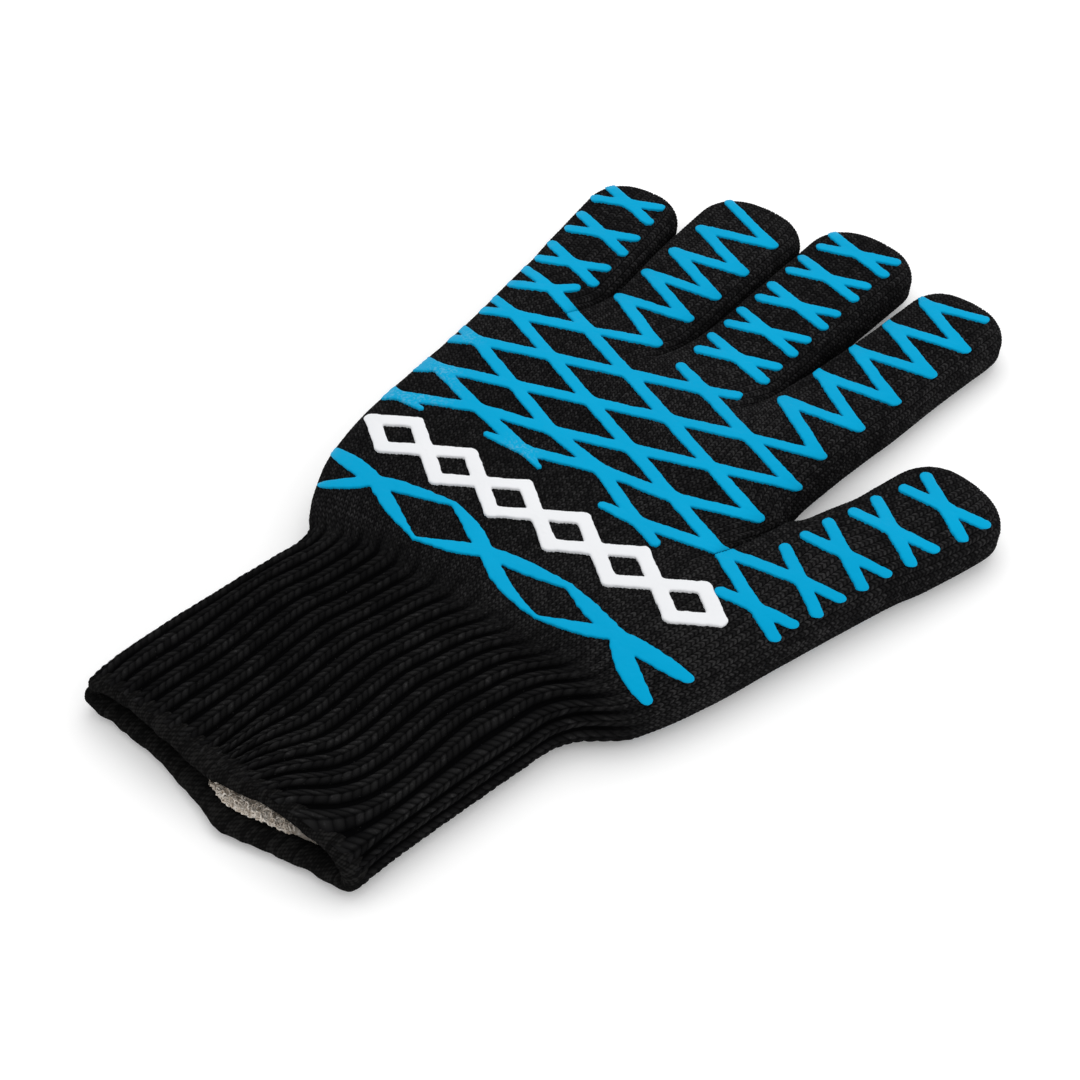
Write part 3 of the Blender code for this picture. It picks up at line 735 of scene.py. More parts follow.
def knit_material():
    graph = Graph("black_knit")
    wale, course, _ = graph.split(graph.attribute("stitch", "Vector"))
    rib, rib_course, ribbed = graph.split(graph.attribute("rib", "Vector"))
    plain_height, plain_leg, plain_along = plain_stitch(graph, wale, course)
    large_height, large_leg, large_along, large_side = rib_stitch(graph, rib, rib_course)
    height = graph.mix(ribbed, plain_height, large_height)
    tone = graph.mix(ribbed, graph.white(plain_leg), graph.white(large_leg))
    where = graph.where()
    # plies of the yarn, running along each leg, then loose fibres
    plies = graph.mix(
        ribbed, wale * 5.0 + plain_along * 3.0, large_side * 6.0 + large_along * 5.0
    )
    ply = ripple(plies)
    fuzz = graph.noise(where, scale=2600.0, detail=3.0, rough=0.65)
    fluff = graph.noise(where, scale=900.0, detail=3.0, rough=0.6)
    relief = height * 1.0 + (ply * 0.10 + fuzz * 0.30)  # weights of stitch, ply and fibre
    bump = graph.bump(relief, distance=0.00036, strength=1.0)
    # legs differ in tone, wide patches too, and the ribs are a little darker; the colour also
    # follows the stitches' relief: painted shade in the hollows, painted light on the ridges
    patch = graph.noise(where, scale=22.0, detail=3.0, rough=0.6)
    relief_light_and_tone = (height * (0.62 + tone * 0.5)).clamped()
    relief_light_and_tone = (relief_light_and_tone * graph.ramp(patch, low=0.2, high=0.8, start=0.8, end=1.15)).clamped()
    relief_light_and_tone = relief_light_and_tone * (1.0 - ribbed * 0.18)
    # the dark colour is painted shade in the stitches' hollows; the pale one is the yarn with
    # painted light on the ridges
    painted_hollow_shade, yarn = (0.0018, 0.0018, 0.0020, 1), (0.0210, 0.0207, 0.0210, 1)
    base = graph.colour(relief_light_and_tone**1.7, painted_hollow_shade, yarn)
    # pale fluff only on the ridges painted light: fuzz together with a painted highlight
    fluff_and_relief_light = graph.ramp(fluff * relief_light_and_tone, low=0.38, high=0.62, start=0.0, end=0.8)
    base = graph.colour(fluff_and_relief_light, base, (0.0385, 0.0379, 0.0383, 1))
    # a few pale loose fibres
    specks = graph.noise(where, scale=1500.0, detail=1.0, rough=0.4)
    lint = graph.ramp(specks, low=0.745, high=0.80, start=0.0, end=0.35)
    base = graph.colour(lint, base, (0.045, 0.044, 0.043, 1))
    return graph.surface({
        "Normal": bump,
        "Base Color": base,
        "Roughness": 0.8,
        "Specular IOR Level": 0.0,
        "Sheen Weight": 0.005,
        "Sheen Roughness": 0.4,
        "Sheen Tint": (0.9, 0.9, 1.0, 1),
    })


def thread_material():
    graph = Graph("black_hem_thread")
    thread, turn, _ = graph.split(graph.attribute("stitch", "Vector"))
    where = graph.where()
    ridge = ripple(thread)
    strand = graph.white(graph.join(thread.op("FLOOR"), 3.0))
    fuzz = graph.noise(where, scale=2600.0, detail=3.0, rough=0.65)
    fluff = graph.noise(where, scale=800.0, detail=3.0, rough=0.6)
    ply = abs((turn * 30.0 + thread * 6.0).op("SINE"))
    relief = ridge * 0.35 + (fuzz * 0.5 + ply * 0.12)
    bump = graph.bump(relief, distance=0.00028, strength=0.9)
    # short stitches show as broken rows along the edge, more than as lines across it
    rows = abs((turn * 44.0 + thread * 1.2).op("SINE"))
    # the thread's ridges are painted lighter, a painted light on the relief, together with the
    # stitch rows and the strands' own tone
    stitch = (0.78 + ridge * 0.22) * (0.66 + rows * 0.34)
    relief_light_and_tone = (stitch * (0.65 + strand * 0.35)).clamped()
    base = graph.colour(relief_light_and_tone, (0.0010, 0.0010, 0.0010, 1), (0.0085, 0.0083, 0.0082, 1))
    # pale fluff only where the ridges are painted light: fuzz together with a painted highlight
    fluff_and_relief_light = graph.ramp(fluff * relief_light_and_tone, low=0.28, high=0.50, start=0.0, end=0.7)
    base = graph.colour(fluff_and_relief_light, base, (0.0190, 0.0185, 0.0180, 1))
    return graph.surface({
        "Normal": bump,
        "Base Color": base,
        "Roughness": 0.8,
        "Specular IOR Level": 0.0,
        "Sheen Weight": 0.005,
        "Sheen Roughness": 0.45,
    })


def terry_material():
    graph = Graph("cream_terry")
    where = graph.where()
    pile = graph.noise(where, scale=700.0, detail=3.0, rough=0.7)
    tufts = graph.noise(where, scale=160.0, detail=2.0, rough=0.5)
    # the colour follows the pile: darker where the pile is low, a painted shade between the loops
    deep, pale = (0.47, 0.39, 0.31, 1), (0.88, 0.83, 0.76, 1)
    return graph.surface({
        "Normal": graph.bump(pile + tufts * 1.5, distance=0.0006, strength=0.9),
        "Base Color": graph.colour(graph.ramp(pile, low=0.3, high=0.7), deep, pale),
        "Roughness": 0.9,
        "Specular IOR Level": 0.1,
        "Sheen Weight": 0.2,
    })


def print_material(name, colour, deep, worn):
    """Satin silicone: faint mottling, a pebbled skin and, if worn, pale specks."""
    graph = Graph(name)
    where = graph.where()
    fine = graph.noise(where, scale=1500.0, detail=2.0, rough=0.5)
    soft = graph.noise(where, scale=260.0, detail=3.0, rough=0.55)
    wide = graph.noise(where, scale=30.0, detail=2.0, rough=0.5)
    bump = graph.bump(fine * 0.25 + soft, distance=0.00022, strength=0.55)
    mottle = graph.ramp(wide, low=0.3, high=0.7, start=0.0, end=0.45)
    base = graph.colour(mottle, colour, deep)
    rim = graph.ramp(graph.attribute("rim"), low=0.0, high=0.5, start=1.0, end=0.0)
    base = graph.colour(rim * 0.30, base, deep)
    if worn:
        wear = graph.attribute("wear")
        specks = graph.noise(where, scale=1100.0, detail=2.0, rough=0.7)
        share = (graph.ramp(specks, low=0.50, high=0.60) * (wear * 0.5)).clamped()
        base = graph.colour(share, base, (0.16, 0.47, 0.66, 1))
    return graph.surface({
        "Normal": bump,
        "Base Color": base,
        "Roughness": graph.ramp(soft, low=0.2, high=0.8, start=0.40, end=0.56),
        "Specular IOR Level": 0.03,
    })


def floor_material():
    return Graph("pale_floor").surface({
        "Base Color": (0.96, 0.96, 0.96, 1),
        "Roughness": 0.9,
        "Specular IOR Level": 0.0,
        "Emission Color": (1, 1, 1, 1),
        "Emission Strength": 0.14,  # a lit table, so that the shadows stay faint
    })


KNIT = knit_material()
THREAD = thread_material()
TERRY = terry_material()
BLUE = print_material(
    "blue_silicone", colour=(0.0, 0.362, 0.640, 1), deep=(0.0, 0.315, 0.575, 1), worn=True
)
WHITE = print_material(
    "white_silicone", colour=(0.84, 0.85, 0.87, 1), deep=(0.78, 0.79, 0.81, 1), worn=False
)


# ---------------------------------------------------------------- pieces of the cloth
PIECES = ["cuff", "palm"] + [f"{stall.name}_{part}" for stall in STALLS for part in ("base", "tip")]
THUMB_CROTCH = np.array([5.10, -2.30])
THUMB_FOLD = np.array([0.831896, 0.554931])  # unit direction across the fold at its root
THUMB_AXIS = np.array([0.177153, 0.984183])
THUMB_JOINT = np.array([6.504 + 0.180 * -0.95, -0.95])


def region(x, y):
    """Place in PIECES of pattern points."""
    out = np.where(y < CUFF_Y, 0, 1)
    which = finger_at(x, y)
    for k, stall in enumerate(FINGERS):
        on = (y > 0) & (which == k) & ~((x > 5.3) & (y < 0.7))
        out = np.where(on & (y < stall.seam), 2 + 2 * k, out)
        out = np.where(on & (y >= stall.seam), 3 + 2 * k, out)
    fold = (x - THUMB_CROTCH[0]) * THUMB_FOLD[0] + (y - THUMB_CROTCH[1]) * THUMB_FOLD[1]
    thumb = (fold > 0) & (x > 5.09) & (y < 0.7) & ~((y > 0) & (x < 5.3))
    beyond = (x - THUMB_JOINT[0]) * THUMB_AXIS[0] + (y - THUMB_JOINT[1]) * THUMB_AXIS[1]
    out = np.where(thumb, 10, out)
    return np.where(thumb & (beyond > -0.41), 11, out)


def attach(obj, name):
    """Parents the cuff to the cuff's body; any other piece stays where it is, with its transform
    baked in.
    """
    if name == "cuff":
        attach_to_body(obj, "cuff")
        return
    if name == "palm":
        point(2.9, -6.30)
        point(2.9, -7.40)
        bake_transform(obj)
        return
    key, part = name.split("_")
    bodies = ("hand", f"{key}_base") if part == "base" else (f"{key}_base", f"{key}_tip")
    if name == "thumb_base":
        start, end = THUMB_CROTCH, THUMB_CROTCH + THUMB_FOLD * 0.9
    elif name == "thumb_tip":
        start, end = THUMB_JOINT - THUMB_AXIS * 0.40, THUMB_JOINT + THUMB_AXIS * 0.40
    else:
        stall = next(stall for stall in FINGERS if stall.name == key)
        x = float(stall.centre(1.0))
        bend = stall.base_bend if part == "base" else stall.tip_bend
        start, end = (x, bend[0]), (x, bend[1])
    point(*start)
    point(*end)
    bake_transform(obj)


def cut_pieces(prefix, world, pattern, quads, attributes, material):
    """Cuts a cloth along its seams and yields (name, object) of each piece."""
    centres = pattern[quads].mean(1)
    number = region(centres[:, 0], centres[:, 1])
    for n, name in enumerate(PIECES):
        chosen = quads[number == n]
        used, index = np.unique(chosen, return_inverse=True)
        mesh = make_mesh(prefix + name, world[used], index.reshape(chosen.shape))
        for key, values in attributes.items():
            add_attribute(mesh, key, values[used])
        piece = put(prefix + name, mesh, material)
        attach(piece, name)
        yield name, piece


def knit_shell():
    """The outer cloth: plain knit, turning to ribs over the cuff."""
    per_top, per_low = by_detail(4), by_detail(2)  # samples to a wale
    pattern, stitches, quads = build_cloth(per_top, per_low, ROW)
    x, y, z = pattern.T
    wale, course = stitches.T
    world = frame_points(pattern)
    normals = normals_of(world, quads)
    share = rib_share(x, y, normals[:, 2] < -0.2)
    ribbed = 1 - smooth(-6.42, -5.72, y + 0.10 * noise(x * 1.7, y * 0, 9))
    # two more ribs run down each side of the cuff
    thick = 0.80 * THICK(y)
    fallen = np.clip((FLOOR + thick - z) / (thick - 0.0012), 0, 1)
    sides = smooth(0.90, 0.985, share) - (1 - smooth(0.015, 0.10, share))
    rib = share * RIBS + 2 * fallen * sides
    rib_course = y * U / RIB_COURSE
    # each stitch sits a little higher or lower than its neighbours
    uneven = 0.14 * noise(wale * 1.0, course * 0.8, 12)
    plain = 0.00046 * stitch_height(wale, course) * (1 + uneven)
    large = 0.00150 * rib_height(rib, rib_course) * (1 + 0.6 * uneven) - 0.00060
    height = (1 - ribbed) * plain + ribbed * large
    flattened = np.where(normals[:, 2] < -0.8, 0.55, 1.0)  # by the table
    world = world + normals * (height * flattened)[:, None]
    attributes = {
        "stitch": np.stack([wale, course, 0 * x], -1),
        "rib": np.stack([rib, rib_course, ribbed], -1),
    }
    for name, piece in cut_pieces("knit_", world, pattern, quads, attributes, KNIT):
        if name == "cuff":
            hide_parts("rib_cuff")
        else:
            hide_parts("shell_hand" if name == "palm" else "shell_" + name)


knit_shell()

# ---------------------------------------------------------------- liner: the terry bag inside
LINER_GAP = 0.0024  # inwards from the shell, in metres
MOUTH_GAP = 0.0006  # more, in the mouth
TUFT_SWELL = 0.0029  # more again, where a tuft swells out over the lower lip
TUFT_EDGE = curve([  # x, y
    (2.2, -9.59), (2.5, -9.66), (2.75, -9.74), (3.0, -9.76),
    (3.3, -9.69), (3.65, -9.60), (3.95, -9.57), (4.2, -9.55),
])


def tuft_share(x):
    return smooth(2.35, 2.75, x) * (1 - smooth(3.45, 3.85, x))


def terry_liner():
    pattern, stitches, quads = build_cloth(1, 1, 0.0024 / U)
    world = frame_points(pattern)
    normals = normals_of(world, quads)
    x, y = pattern[:, 0], pattern[:, 1]
    bumps = 0.0005 * noise(stitches[:, 0] * 1.1, stitches[:, 1] * 0.7, 21)
    mouth = smooth(-8.9, -9.4, y)
    tuft = tuft_share(x) * (normals[:, 2] < 0)
    bumps = bumps * (1 - 0.7 * mouth * (1 - tuft))
    inwards = LINER_GAP + mouth * (MOUTH_GAP + TUFT_SWELL * tuft) + bumps
    world = world - normals * inwards[:, None]
    world[:, 1] += tuft * (TUFT_EDGE(x) - HEM_Y) * U * smooth(-9.25, -9.60, y)
    for name, piece in cut_pieces("terry_", world, pattern, quads, {}, TERRY):
        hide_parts("liner_hand" if name == "palm" else "liner_" + name)


def unit(vectors, least=0.0):
    lengths = np.linalg.norm(vectors, axis=1, keepdims=True)
    return vectors / np.maximum(lengths, least)


def terry_loops():
    """The tuft's pile: small loops of yarn that stand and lean over its free edge."""
    rng = np.random.default_rng(7)
    many, sides, steps = by_detail(420), 5, 9
    points, quads = [], []
    around = np.arange(sides) / sides * 2 * math.pi
    t = np.linspace(-0.15, math.pi + 0.15, steps)
    for i in range(many):
        free = i % 2 == 0  # every other loop hangs over the edge
        x = 2.42 + 1.30 * rng.random()
        swell = float(tuft_share(x))
        y = float(TUFT_EDGE(x)) + (0.03 * rng.random() if free else 0.35 * rng.random())
        z = FLOOR + LINER_GAP + MOUTH_GAP + TUFT_SWELL * swell - 0.0002
        if free:
            z -= 0.0006 * rng.random()
        heading = rng.normal(0, 0.45) if free else rng.random() * math.pi
        tall = (0.0008 + 0.0010 * rng.random()) * (0.55 + 0.45 * swell)
        wide = 0.00055 + 0.0004 * rng.random()
        thick = 0.00019 + 0.00009 * rng.random()
        lean = 1.5 * ((0.55 + 0.35 * rng.random()) if free else 0.3 * rng.random())
        side = np.array([math.cos(heading), math.sin(heading), 0.0])
        out = np.array([-math.sin(heading), -math.cos(heading), 0.0]) * math.sin(lean)
        out = out + np.array([0, 0, math.cos(lean)])
        twist = rng.normal(0, 0.35)
        path = (
            np.array([*to_frame(x, y), z])
            + np.outer(-np.cos(t) * wide, side)
            + np.outer(np.sin(t) * tall, out)
            + np.outer(np.sin(t * 2) * twist * wide, np.cross(side, out))
        )
        along = unit(np.gradient(path, axis=0))
        second = unit(np.cross(along, np.cross(side, out)), 1e-9)
        third = np.cross(along, second)
        rings = path[:, None, :] + thick * (
            np.cos(around)[None, :, None] * second[:, None, :]
            + np.sin(around)[None, :, None] * third[:, None, :]
        )
        ids = i * steps * sides + np.arange(steps * sides).reshape(steps, sides)
        points.append(rings.reshape(-1, 3))
        quads.append(tube_quads(ids[:-1], ids[1:]))
    mesh = make_mesh("terry_loops", np.concatenate(points), np.concatenate(quads))
    obj = put("terry_loops", mesh, TERRY)
    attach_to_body(obj, "cuff")
    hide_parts("liner_cuff")


terry_liner()
terry_loops()

# ---------------------------------------------------------------- hem: thread across the cuff's edge
THREAD_PITCH = 0.00085
HEM_LONG, HEM_THICK = 0.0082, 0.0050  # section of the binding
# how far the lower lip of the mouth reaches past the cuff's edge: x, pattern units
LOWER_LIP = curve([
    (0.0, 0.0), (0.8, 0.02), (1.7, 0.06), (2.35, 0.18), (3.0, 0.32),
    (3.5, 0.20), (4.05, 0.10), (4.6, 0.02), (5.2, 0.0),
])
# how the upper lip's outer edge waves: x, pattern units
UPPER_LIP = curve([
    (0.0, 0.0), (0.6, -0.03), (1.2, -0.04), (1.9, 0.01), (2.6, 0.03),
    (3.0, 0.01), (3.3, -0.05), (3.7, -0.05), (4.3, -0.03), (5.0, 0.0),
])


def mean_of_three(values):
    return (np.roll(values, 1, 0) + values + np.roll(values, -1, 0)) / 3


def hem_path():
    """Points round the cuff's edge: (run, place, pattern x, share of the lower face)."""
    rows = np.array([-9.61])
    top = shared_rows(rows, 5, False, 16)[0]
    low = shared_rows(rows, 5, True, 16)[0]
    loop = np.concatenate([top[:-1], low[::-1][:-1]])
    is_low = np.concatenate([np.zeros(len(top) - 1), np.ones(len(low) - 1)])
    flat = frame_points(loop)
    steps = np.linalg.norm(np.diff(np.vstack([flat, flat[:1]]), axis=0), axis=1)
    run = np.concatenate([[0], np.cumsum(steps)])
    many = int(run[-1] / THREAD_PITCH) * by_detail(4)
    want = np.arange(many) / many * run[-1]

    def resample(values):
        return np.interp(want, run, np.append(values, values[0]))

    lowness = resample(is_low)
    for _ in range(30):
        lowness = mean_of_three(lowness)
    ring = np.stack([resample(flat[:, i]) for i in range(3)], -1)
    return want, ring, resample(loop[:, 0]), lowness


def hem():
    run, ring, x, lowness = hem_path()
    many, per = len(run), by_detail(26)
    tangent = unit(np.roll(ring, -2, 0) - np.roll(ring, 2, 0))
    out = unit(np.cross(tangent, np.array([0, -1.0, 0])))
    if (out[:, 2] * (ring[:, 2] - ring[:, 2].mean())).sum() < 0:
        out = -out
    for _ in range(6):
        out = mean_of_three(out)
    out = unit(out)
    # the section: out over the ribs, round the free edge, back inside
    phase = run / THREAD_PITCH
    turn = np.linspace(0, 2 * math.pi, per, endpoint=False)
    cosine, sine = np.cos(turn), np.sin(turn)
    along = np.sign(sine) * np.abs(sine) ** 0.9 * HEM_LONG / 2
    through = np.sign(cosine) * np.abs(cosine) ** 0.8 * HEM_THICK / 2
    wobble = 0.0005 * noise(run / 0.011, 0 * run, 31) + 0.0003 * noise(run / 0.004, 0 * run, 32)
    reach = lowness * LOWER_LIP(x) * U + wobble
    wave = ((1 - lowness) * UPPER_LIP(x) * U)[:, None]
    front = np.maximum(along, 0)[None, :] / (HEM_LONG / 2) * wave
    ridge = np.abs(np.sin(math.pi * phase)) ** 0.8
    lift = 0.00009 * (ridge[:, None] - 0.5) * (0.6 + 0.4 * np.abs(sine))[None, :]
    lift = lift + 0.00012 * noise(run[:, None] / 0.0022, turn[None, :] * 2.3, 33)
    outwards = through[None, :] + lift * np.sign(through)[None, :] - 0.0019
    length = along[None, :] * (1 + 0.05 * noise(run / 0.007, 0 * run, 34))[:, None]
    forwards = length + lift * np.sign(along)[None, :] + front
    rings = ring[:, None, :] + out[:, None, :] * outwards[..., None]
    rings[..., 1] = (ring[:, 1] + 0.0016 - reach)[:, None] - forwards
    ids = np.arange(many * per).reshape(many, per)
    quads = tube_quads(ids, np.roll(ids, -1, 0))
    points = rings.reshape(-1, 3)
    points[:, 2] = np.maximum(points[:, 2], 0.0002)
    first, second, third = (points[quads[:, i]] for i in range(3))
    if np.einsum("ij,ij->i", first, np.cross(second, third)).sum() < 0:
        quads = quads[:, ::-1]  # faces look outwards
    mesh = make_mesh("hem", points, quads)
    thread = np.repeat(phase, per)
    stitch = np.stack([thread, np.tile(turn / (2 * math.pi), many), 0 * thread], -1)
    add_attribute(mesh, "stitch", stitch)
    obj = put("hem_edge", mesh, THREAD)
    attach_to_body(obj, "cuff")
    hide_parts("hem_binding")


hem()

# ---------------------------------------------------------------- the print's strokes
# A stroke is (start, end, radius at start, radius at end) on the plane of the print's top.
STROKE = 0.0041 / U  # full width
WRIST_RADIUS = 0.0052 / U / 2


def stroke(start, end, end_share=0.5, start_share=0.5):
    """A stroke whose radii are shares of the full width."""
    return (start, end, STROKE * start_share, STROKE * end_share)


def zigzag(points, ends=0.8):
    """Strokes through points; the two free ends are thinner."""
    radii = [STROKE / 2] * len(points)
    radii[0] = radii[-1] = STROKE / 2 * ends
    return list(zip(points, points[1:], radii, radii[1:]))


def crosses(centres, falling, rising):
    """An X at each centre, of two lines given by their runs; the arms thin outwards."""
    radius = STROKE / 2
    return [
        ((x, y), (x + way * run_x / 2, y + way * run_y / 2), radius * 1.02, radius * 0.92)
        for x, y in centres
        for run_x, run_y in (falling, rising)
        for way in (1, -1)
    ]


# lattice crossings are (column, row); those beside the row of the mark are pulled up a little
PULL = {(4, 6): (0.0, 0.25), (3, 6): (-0.06, 0.21), (3, 7): (-0.08, 0.14), (4, 5): (-0.03, 0.11)}
# column: its rows
LATTICE = {1: range(1, 7), 2: range(2, 8), 3: range(3, 8), 4: range(4, 7), 5: (5,), 0: (3, 4, 5)}


def crossing(column, row):
    pull_x, pull_y = PULL.get((column, row), (0, 0))
    return (row - column + pull_x, -0.3885 * (row + column) + pull_y)


# runs of the two loose ends at the crossings down the hand's -X side
LOOSE_ENDS = (
    ((-0.55, 0.12), (-0.47, -0.27)),
    ((-0.45, 0.10), (-0.39, -0.22)),
    ((-0.39, 0.09), (-0.34, -0.24)),
    ((-0.36, 0.02), (-0.31, -0.29)),
    ((-0.20, 0.06), (-0.15, -0.15)),
)
# other loose ends: crossing, end, radius at the end as a share of the width
LAST_ENDS = (
    ((1, 1), (0.24, -0.55), 0.46),
    ((5, 5), (0.42, -3.885), 0.22),
    ((4, 6), (1.41, -3.71), 0.28),
    ((4, 6), (2.34, -3.76), 0.22),
    ((3, 7), (3.42, -3.79), 0.36),
    ((3, 7), (4.33, -3.90), 0.40),
)


def palm_strokes():
    nodes = [(column, row) for column, rows in LATTICE.items() for row in rows]
    out = []
    for column, row in nodes:
        for other in ((column + 1, row), (column, row + 1)):
            if other in nodes:
                out.append(stroke(crossing(column, row), crossing(*other)))
    for k, runs in enumerate(LOOSE_ENDS):
        x, y = crossing(1 + k, 1 + k)
        out += [stroke((x, y), (x + run_x, y + run_y), 0.44) for run_x, run_y in runs]
    return out + [stroke(crossing(*node), end, share) for node, end, share in LAST_ENDS]


def finger_strokes():
    out = crosses([(-0.50, 1.56), (-0.30, 0.72), (-0.15, -0.12)], (1.03, -0.35), (0.84, 0.42))
    out += zigzag([
        (0.63, 2.54), (1.72, 2.08), (0.73, 1.75), (1.79, 1.28), (0.78, 1.05), (1.84, 0.58),
        (0.81, 0.40), (1.86, -0.07), (0.88, -0.30), (1.87, -0.79), (1.0, -1.165),
    ])
    middle = [(2.80, 2.70), (2.80, 1.95), (2.85, 1.15), (2.88, 0.40), (2.92, -0.33)]
    out += crosses(middle, (1.07, -0.32), (0.99, 0.38))
    out += [stroke(crossing(0, 3), end, 0.45) for end in ((2.46, -0.97), (3.38, -0.98))]
    index = [
        (4.98, 2.56), (4.19, 2.34), (5.11, 1.83), (4.09, 1.60), (5.06, 1.08), (4.04, 0.85),
        (5.01, 0.28), (3.99, 0.10), (4.96, -0.47), (3.93, -0.65), (4.90, -1.25), (4.0, -1.55),
    ]
    out += zigzag(index)
    return out + [stroke((x, y), (x - 0.11, y + 0.07), 0.30) for x, y in index[1:8:2]]


def thumb_strokes():
    """Three free crosses, then two that hang on the lattice's last corner."""
    out = crosses([(6.65, -1.04), (6.42, -1.82), (6.21, -2.55)], (0.93, -0.66), (1.09, 0.09))
    corner = crossing(2, 7)
    for first, middle, last, spur in (
        ((5.60, -2.94), (6.06, -3.27), (6.52, -3.60), (6.58, -3.22)),
        ((5.46, -4.06), (5.93, -4.0), (6.40, -3.94), (6.37, -4.25)),
    ):
        out += zigzag([first, middle, last], ends=0.92)
        out += [stroke(corner, middle), stroke(middle, spur, 0.46)]
    return out


def taper(start, end, start_radius, end_radius, bow):
    """Six strokes that make one slightly bowed line of changing width."""
    side_x, side_y = -(end[1] - start[1]), end[0] - start[0]
    stations = []
    for i in range(7):
        t = i / 6
        hump = math.sin(math.pi * t)
        off = 0.45 * bow * hump
        x = start[0] + (end[0] - start[0]) * t + side_x * off
        y = start[1] + (end[1] - start[1]) * t + side_y * off
        radius = (start_radius + (end_radius - start_radius) * t) * (0.75 + 0.35 * hump)
        stations.append(((x, y), radius))
    return [(a, b, ra, rb) for (a, ra), (b, rb) in zip(stations, stations[1:])]


# the row at the wrist: centres of three long crosses and the ends of their arms, each with
# its radii as shares of WRIST_RADIUS and its bow; neighbouring arms meet in points
WRIST_ROW = (
    ((0.95, -5.30), (
        ((0.14, -5.23), 1.1, 0.92, -0.02),
        ((2.0, -4.98), 1.1, 0.45, 0.02),
        ((2.05, -5.76), 1.1, 0.30, -0.05),
        ((0.50, -5.80), 0.9, 0.60, 0.03),
    )),
    ((2.87, -5.36), (
        ((2.0, -4.98), 1.1, 0.45, -0.05),
        ((2.05, -5.76), 1.1, 0.30, 0.06),
        ((4.03, -5.17), 1.1, 0.60, 0.0),
        ((4.05, -5.82), 1.1, 0.30, -0.14),
    )),
    ((4.97, -5.42), (
        ((4.03, -5.17), 1.1, 0.60, 0.03),
        ((4.05, -5.82), 1.1, 0.30, 0.06),
        ((6.01, -5.43), 1.1, 0.95, 0.0),
        ((5.86, -6.00), 1.1, 0.95, -0.10),
    )),
)


def wrist_strokes():
    out = []
    for centre, arms in WRIST_ROW:
        for end, inner, outer, bow in arms:
            out += taper(centre, end, WRIST_RADIUS * inner, WRIST_RADIUS * outer, bow)
    return out


def mark_strokes():
    """The white row: a chain of six open lozenges."""
    left, wide, mid_y, half_high = 0.10, 0.94, -4.46, 0.32
    out = []
    for i in range(6):
        middle = left + wide * (i + 0.5)
        corners = [
            (left + wide * i, mid_y),
            (middle, mid_y + half_high),
            (left + wide * (i + 1), mid_y),
            (middle, mid_y - half_high),
        ]
        for start, end in zip(corners, corners[1:] + corners[:1]):
            out.append(stroke(start, end, 0.56, 0.56))
    return out


# ---------------------------------------------------------------- the print's meshes
# Strokes are dropped along the lines from here: pattern x, y, and pattern units over PRINT_TOP.
EYE = np.array([15.7235, -19.3822, 18.0026])
# worn places: x, y, radius
WORN_SPOTS = (
    (0.0, -3.9, 0.30), (0.1, -3.12, 0.22), (1.95, -3.72, 0.22),
    (0.35, -3.55, 0.25), (-0.1, -2.35, 0.15),
)


def field(strokes, step):
    """Grid x and y, and the distance there to the union of strokes.

    The distance is in metres and negative inside; close strokes flow together.
    """
    ends = np.array([end for line in strokes for end in line[:2]])
    low, high = ends.min(0) - 0.2, ends.max(0) + 0.2
    count_x, count_y = (int((high[i] - low[i]) / step) + 1 for i in range(2))
    grid_x, grid_y = low[0] + step * np.arange(count_x), low[1] + step * np.arange(count_y)
    total = np.zeros((count_x, count_y))
    blend, pad = 0.00022 / U, 0.0035 / U

    def window(axis, count, start, end, radius):
        first = int((min(start[axis], end[axis]) - radius - low[axis]) / step)
        last = int((max(start[axis], end[axis]) + radius - low[axis]) / step) + 2
        return slice(max(0, first), min(count, last))

    for start, end, start_radius, end_radius in strokes:
        radius = max(start_radius, end_radius) + pad
        columns = window(0, count_x, start, end, radius)
        rows = window(1, count_y, start, end, radius)
        off_x, off_y = grid_x[columns, None] - start[0], grid_y[None, rows] - start[1]
        run_x, run_y = end[0] - start[0], end[1] - start[1]
        t = (off_x * run_x + off_y * run_y) / max(run_x * run_x + run_y * run_y, 1e-12)
        t = np.clip(t, 0, 1)
        away = np.hypot(off_x - t * run_x, off_y - t * run_y)
        away = away - (start_radius + (end_radius - start_radius) * t)
        total[columns, rows] += np.exp(-away / blend)
    distance = -blend * np.log(np.maximum(total, 1e-12))
    x, y = np.meshgrid(grid_x * U, grid_y * U, indexing="ij")
    ragged = 0.00013 * noise(x / 0.0011, y / 0.0011, 41)
    ragged = ragged + 0.00016 * noise(x / 0.0037, y / 0.0037, 42)
    return grid_x, grid_y, distance * U + ragged


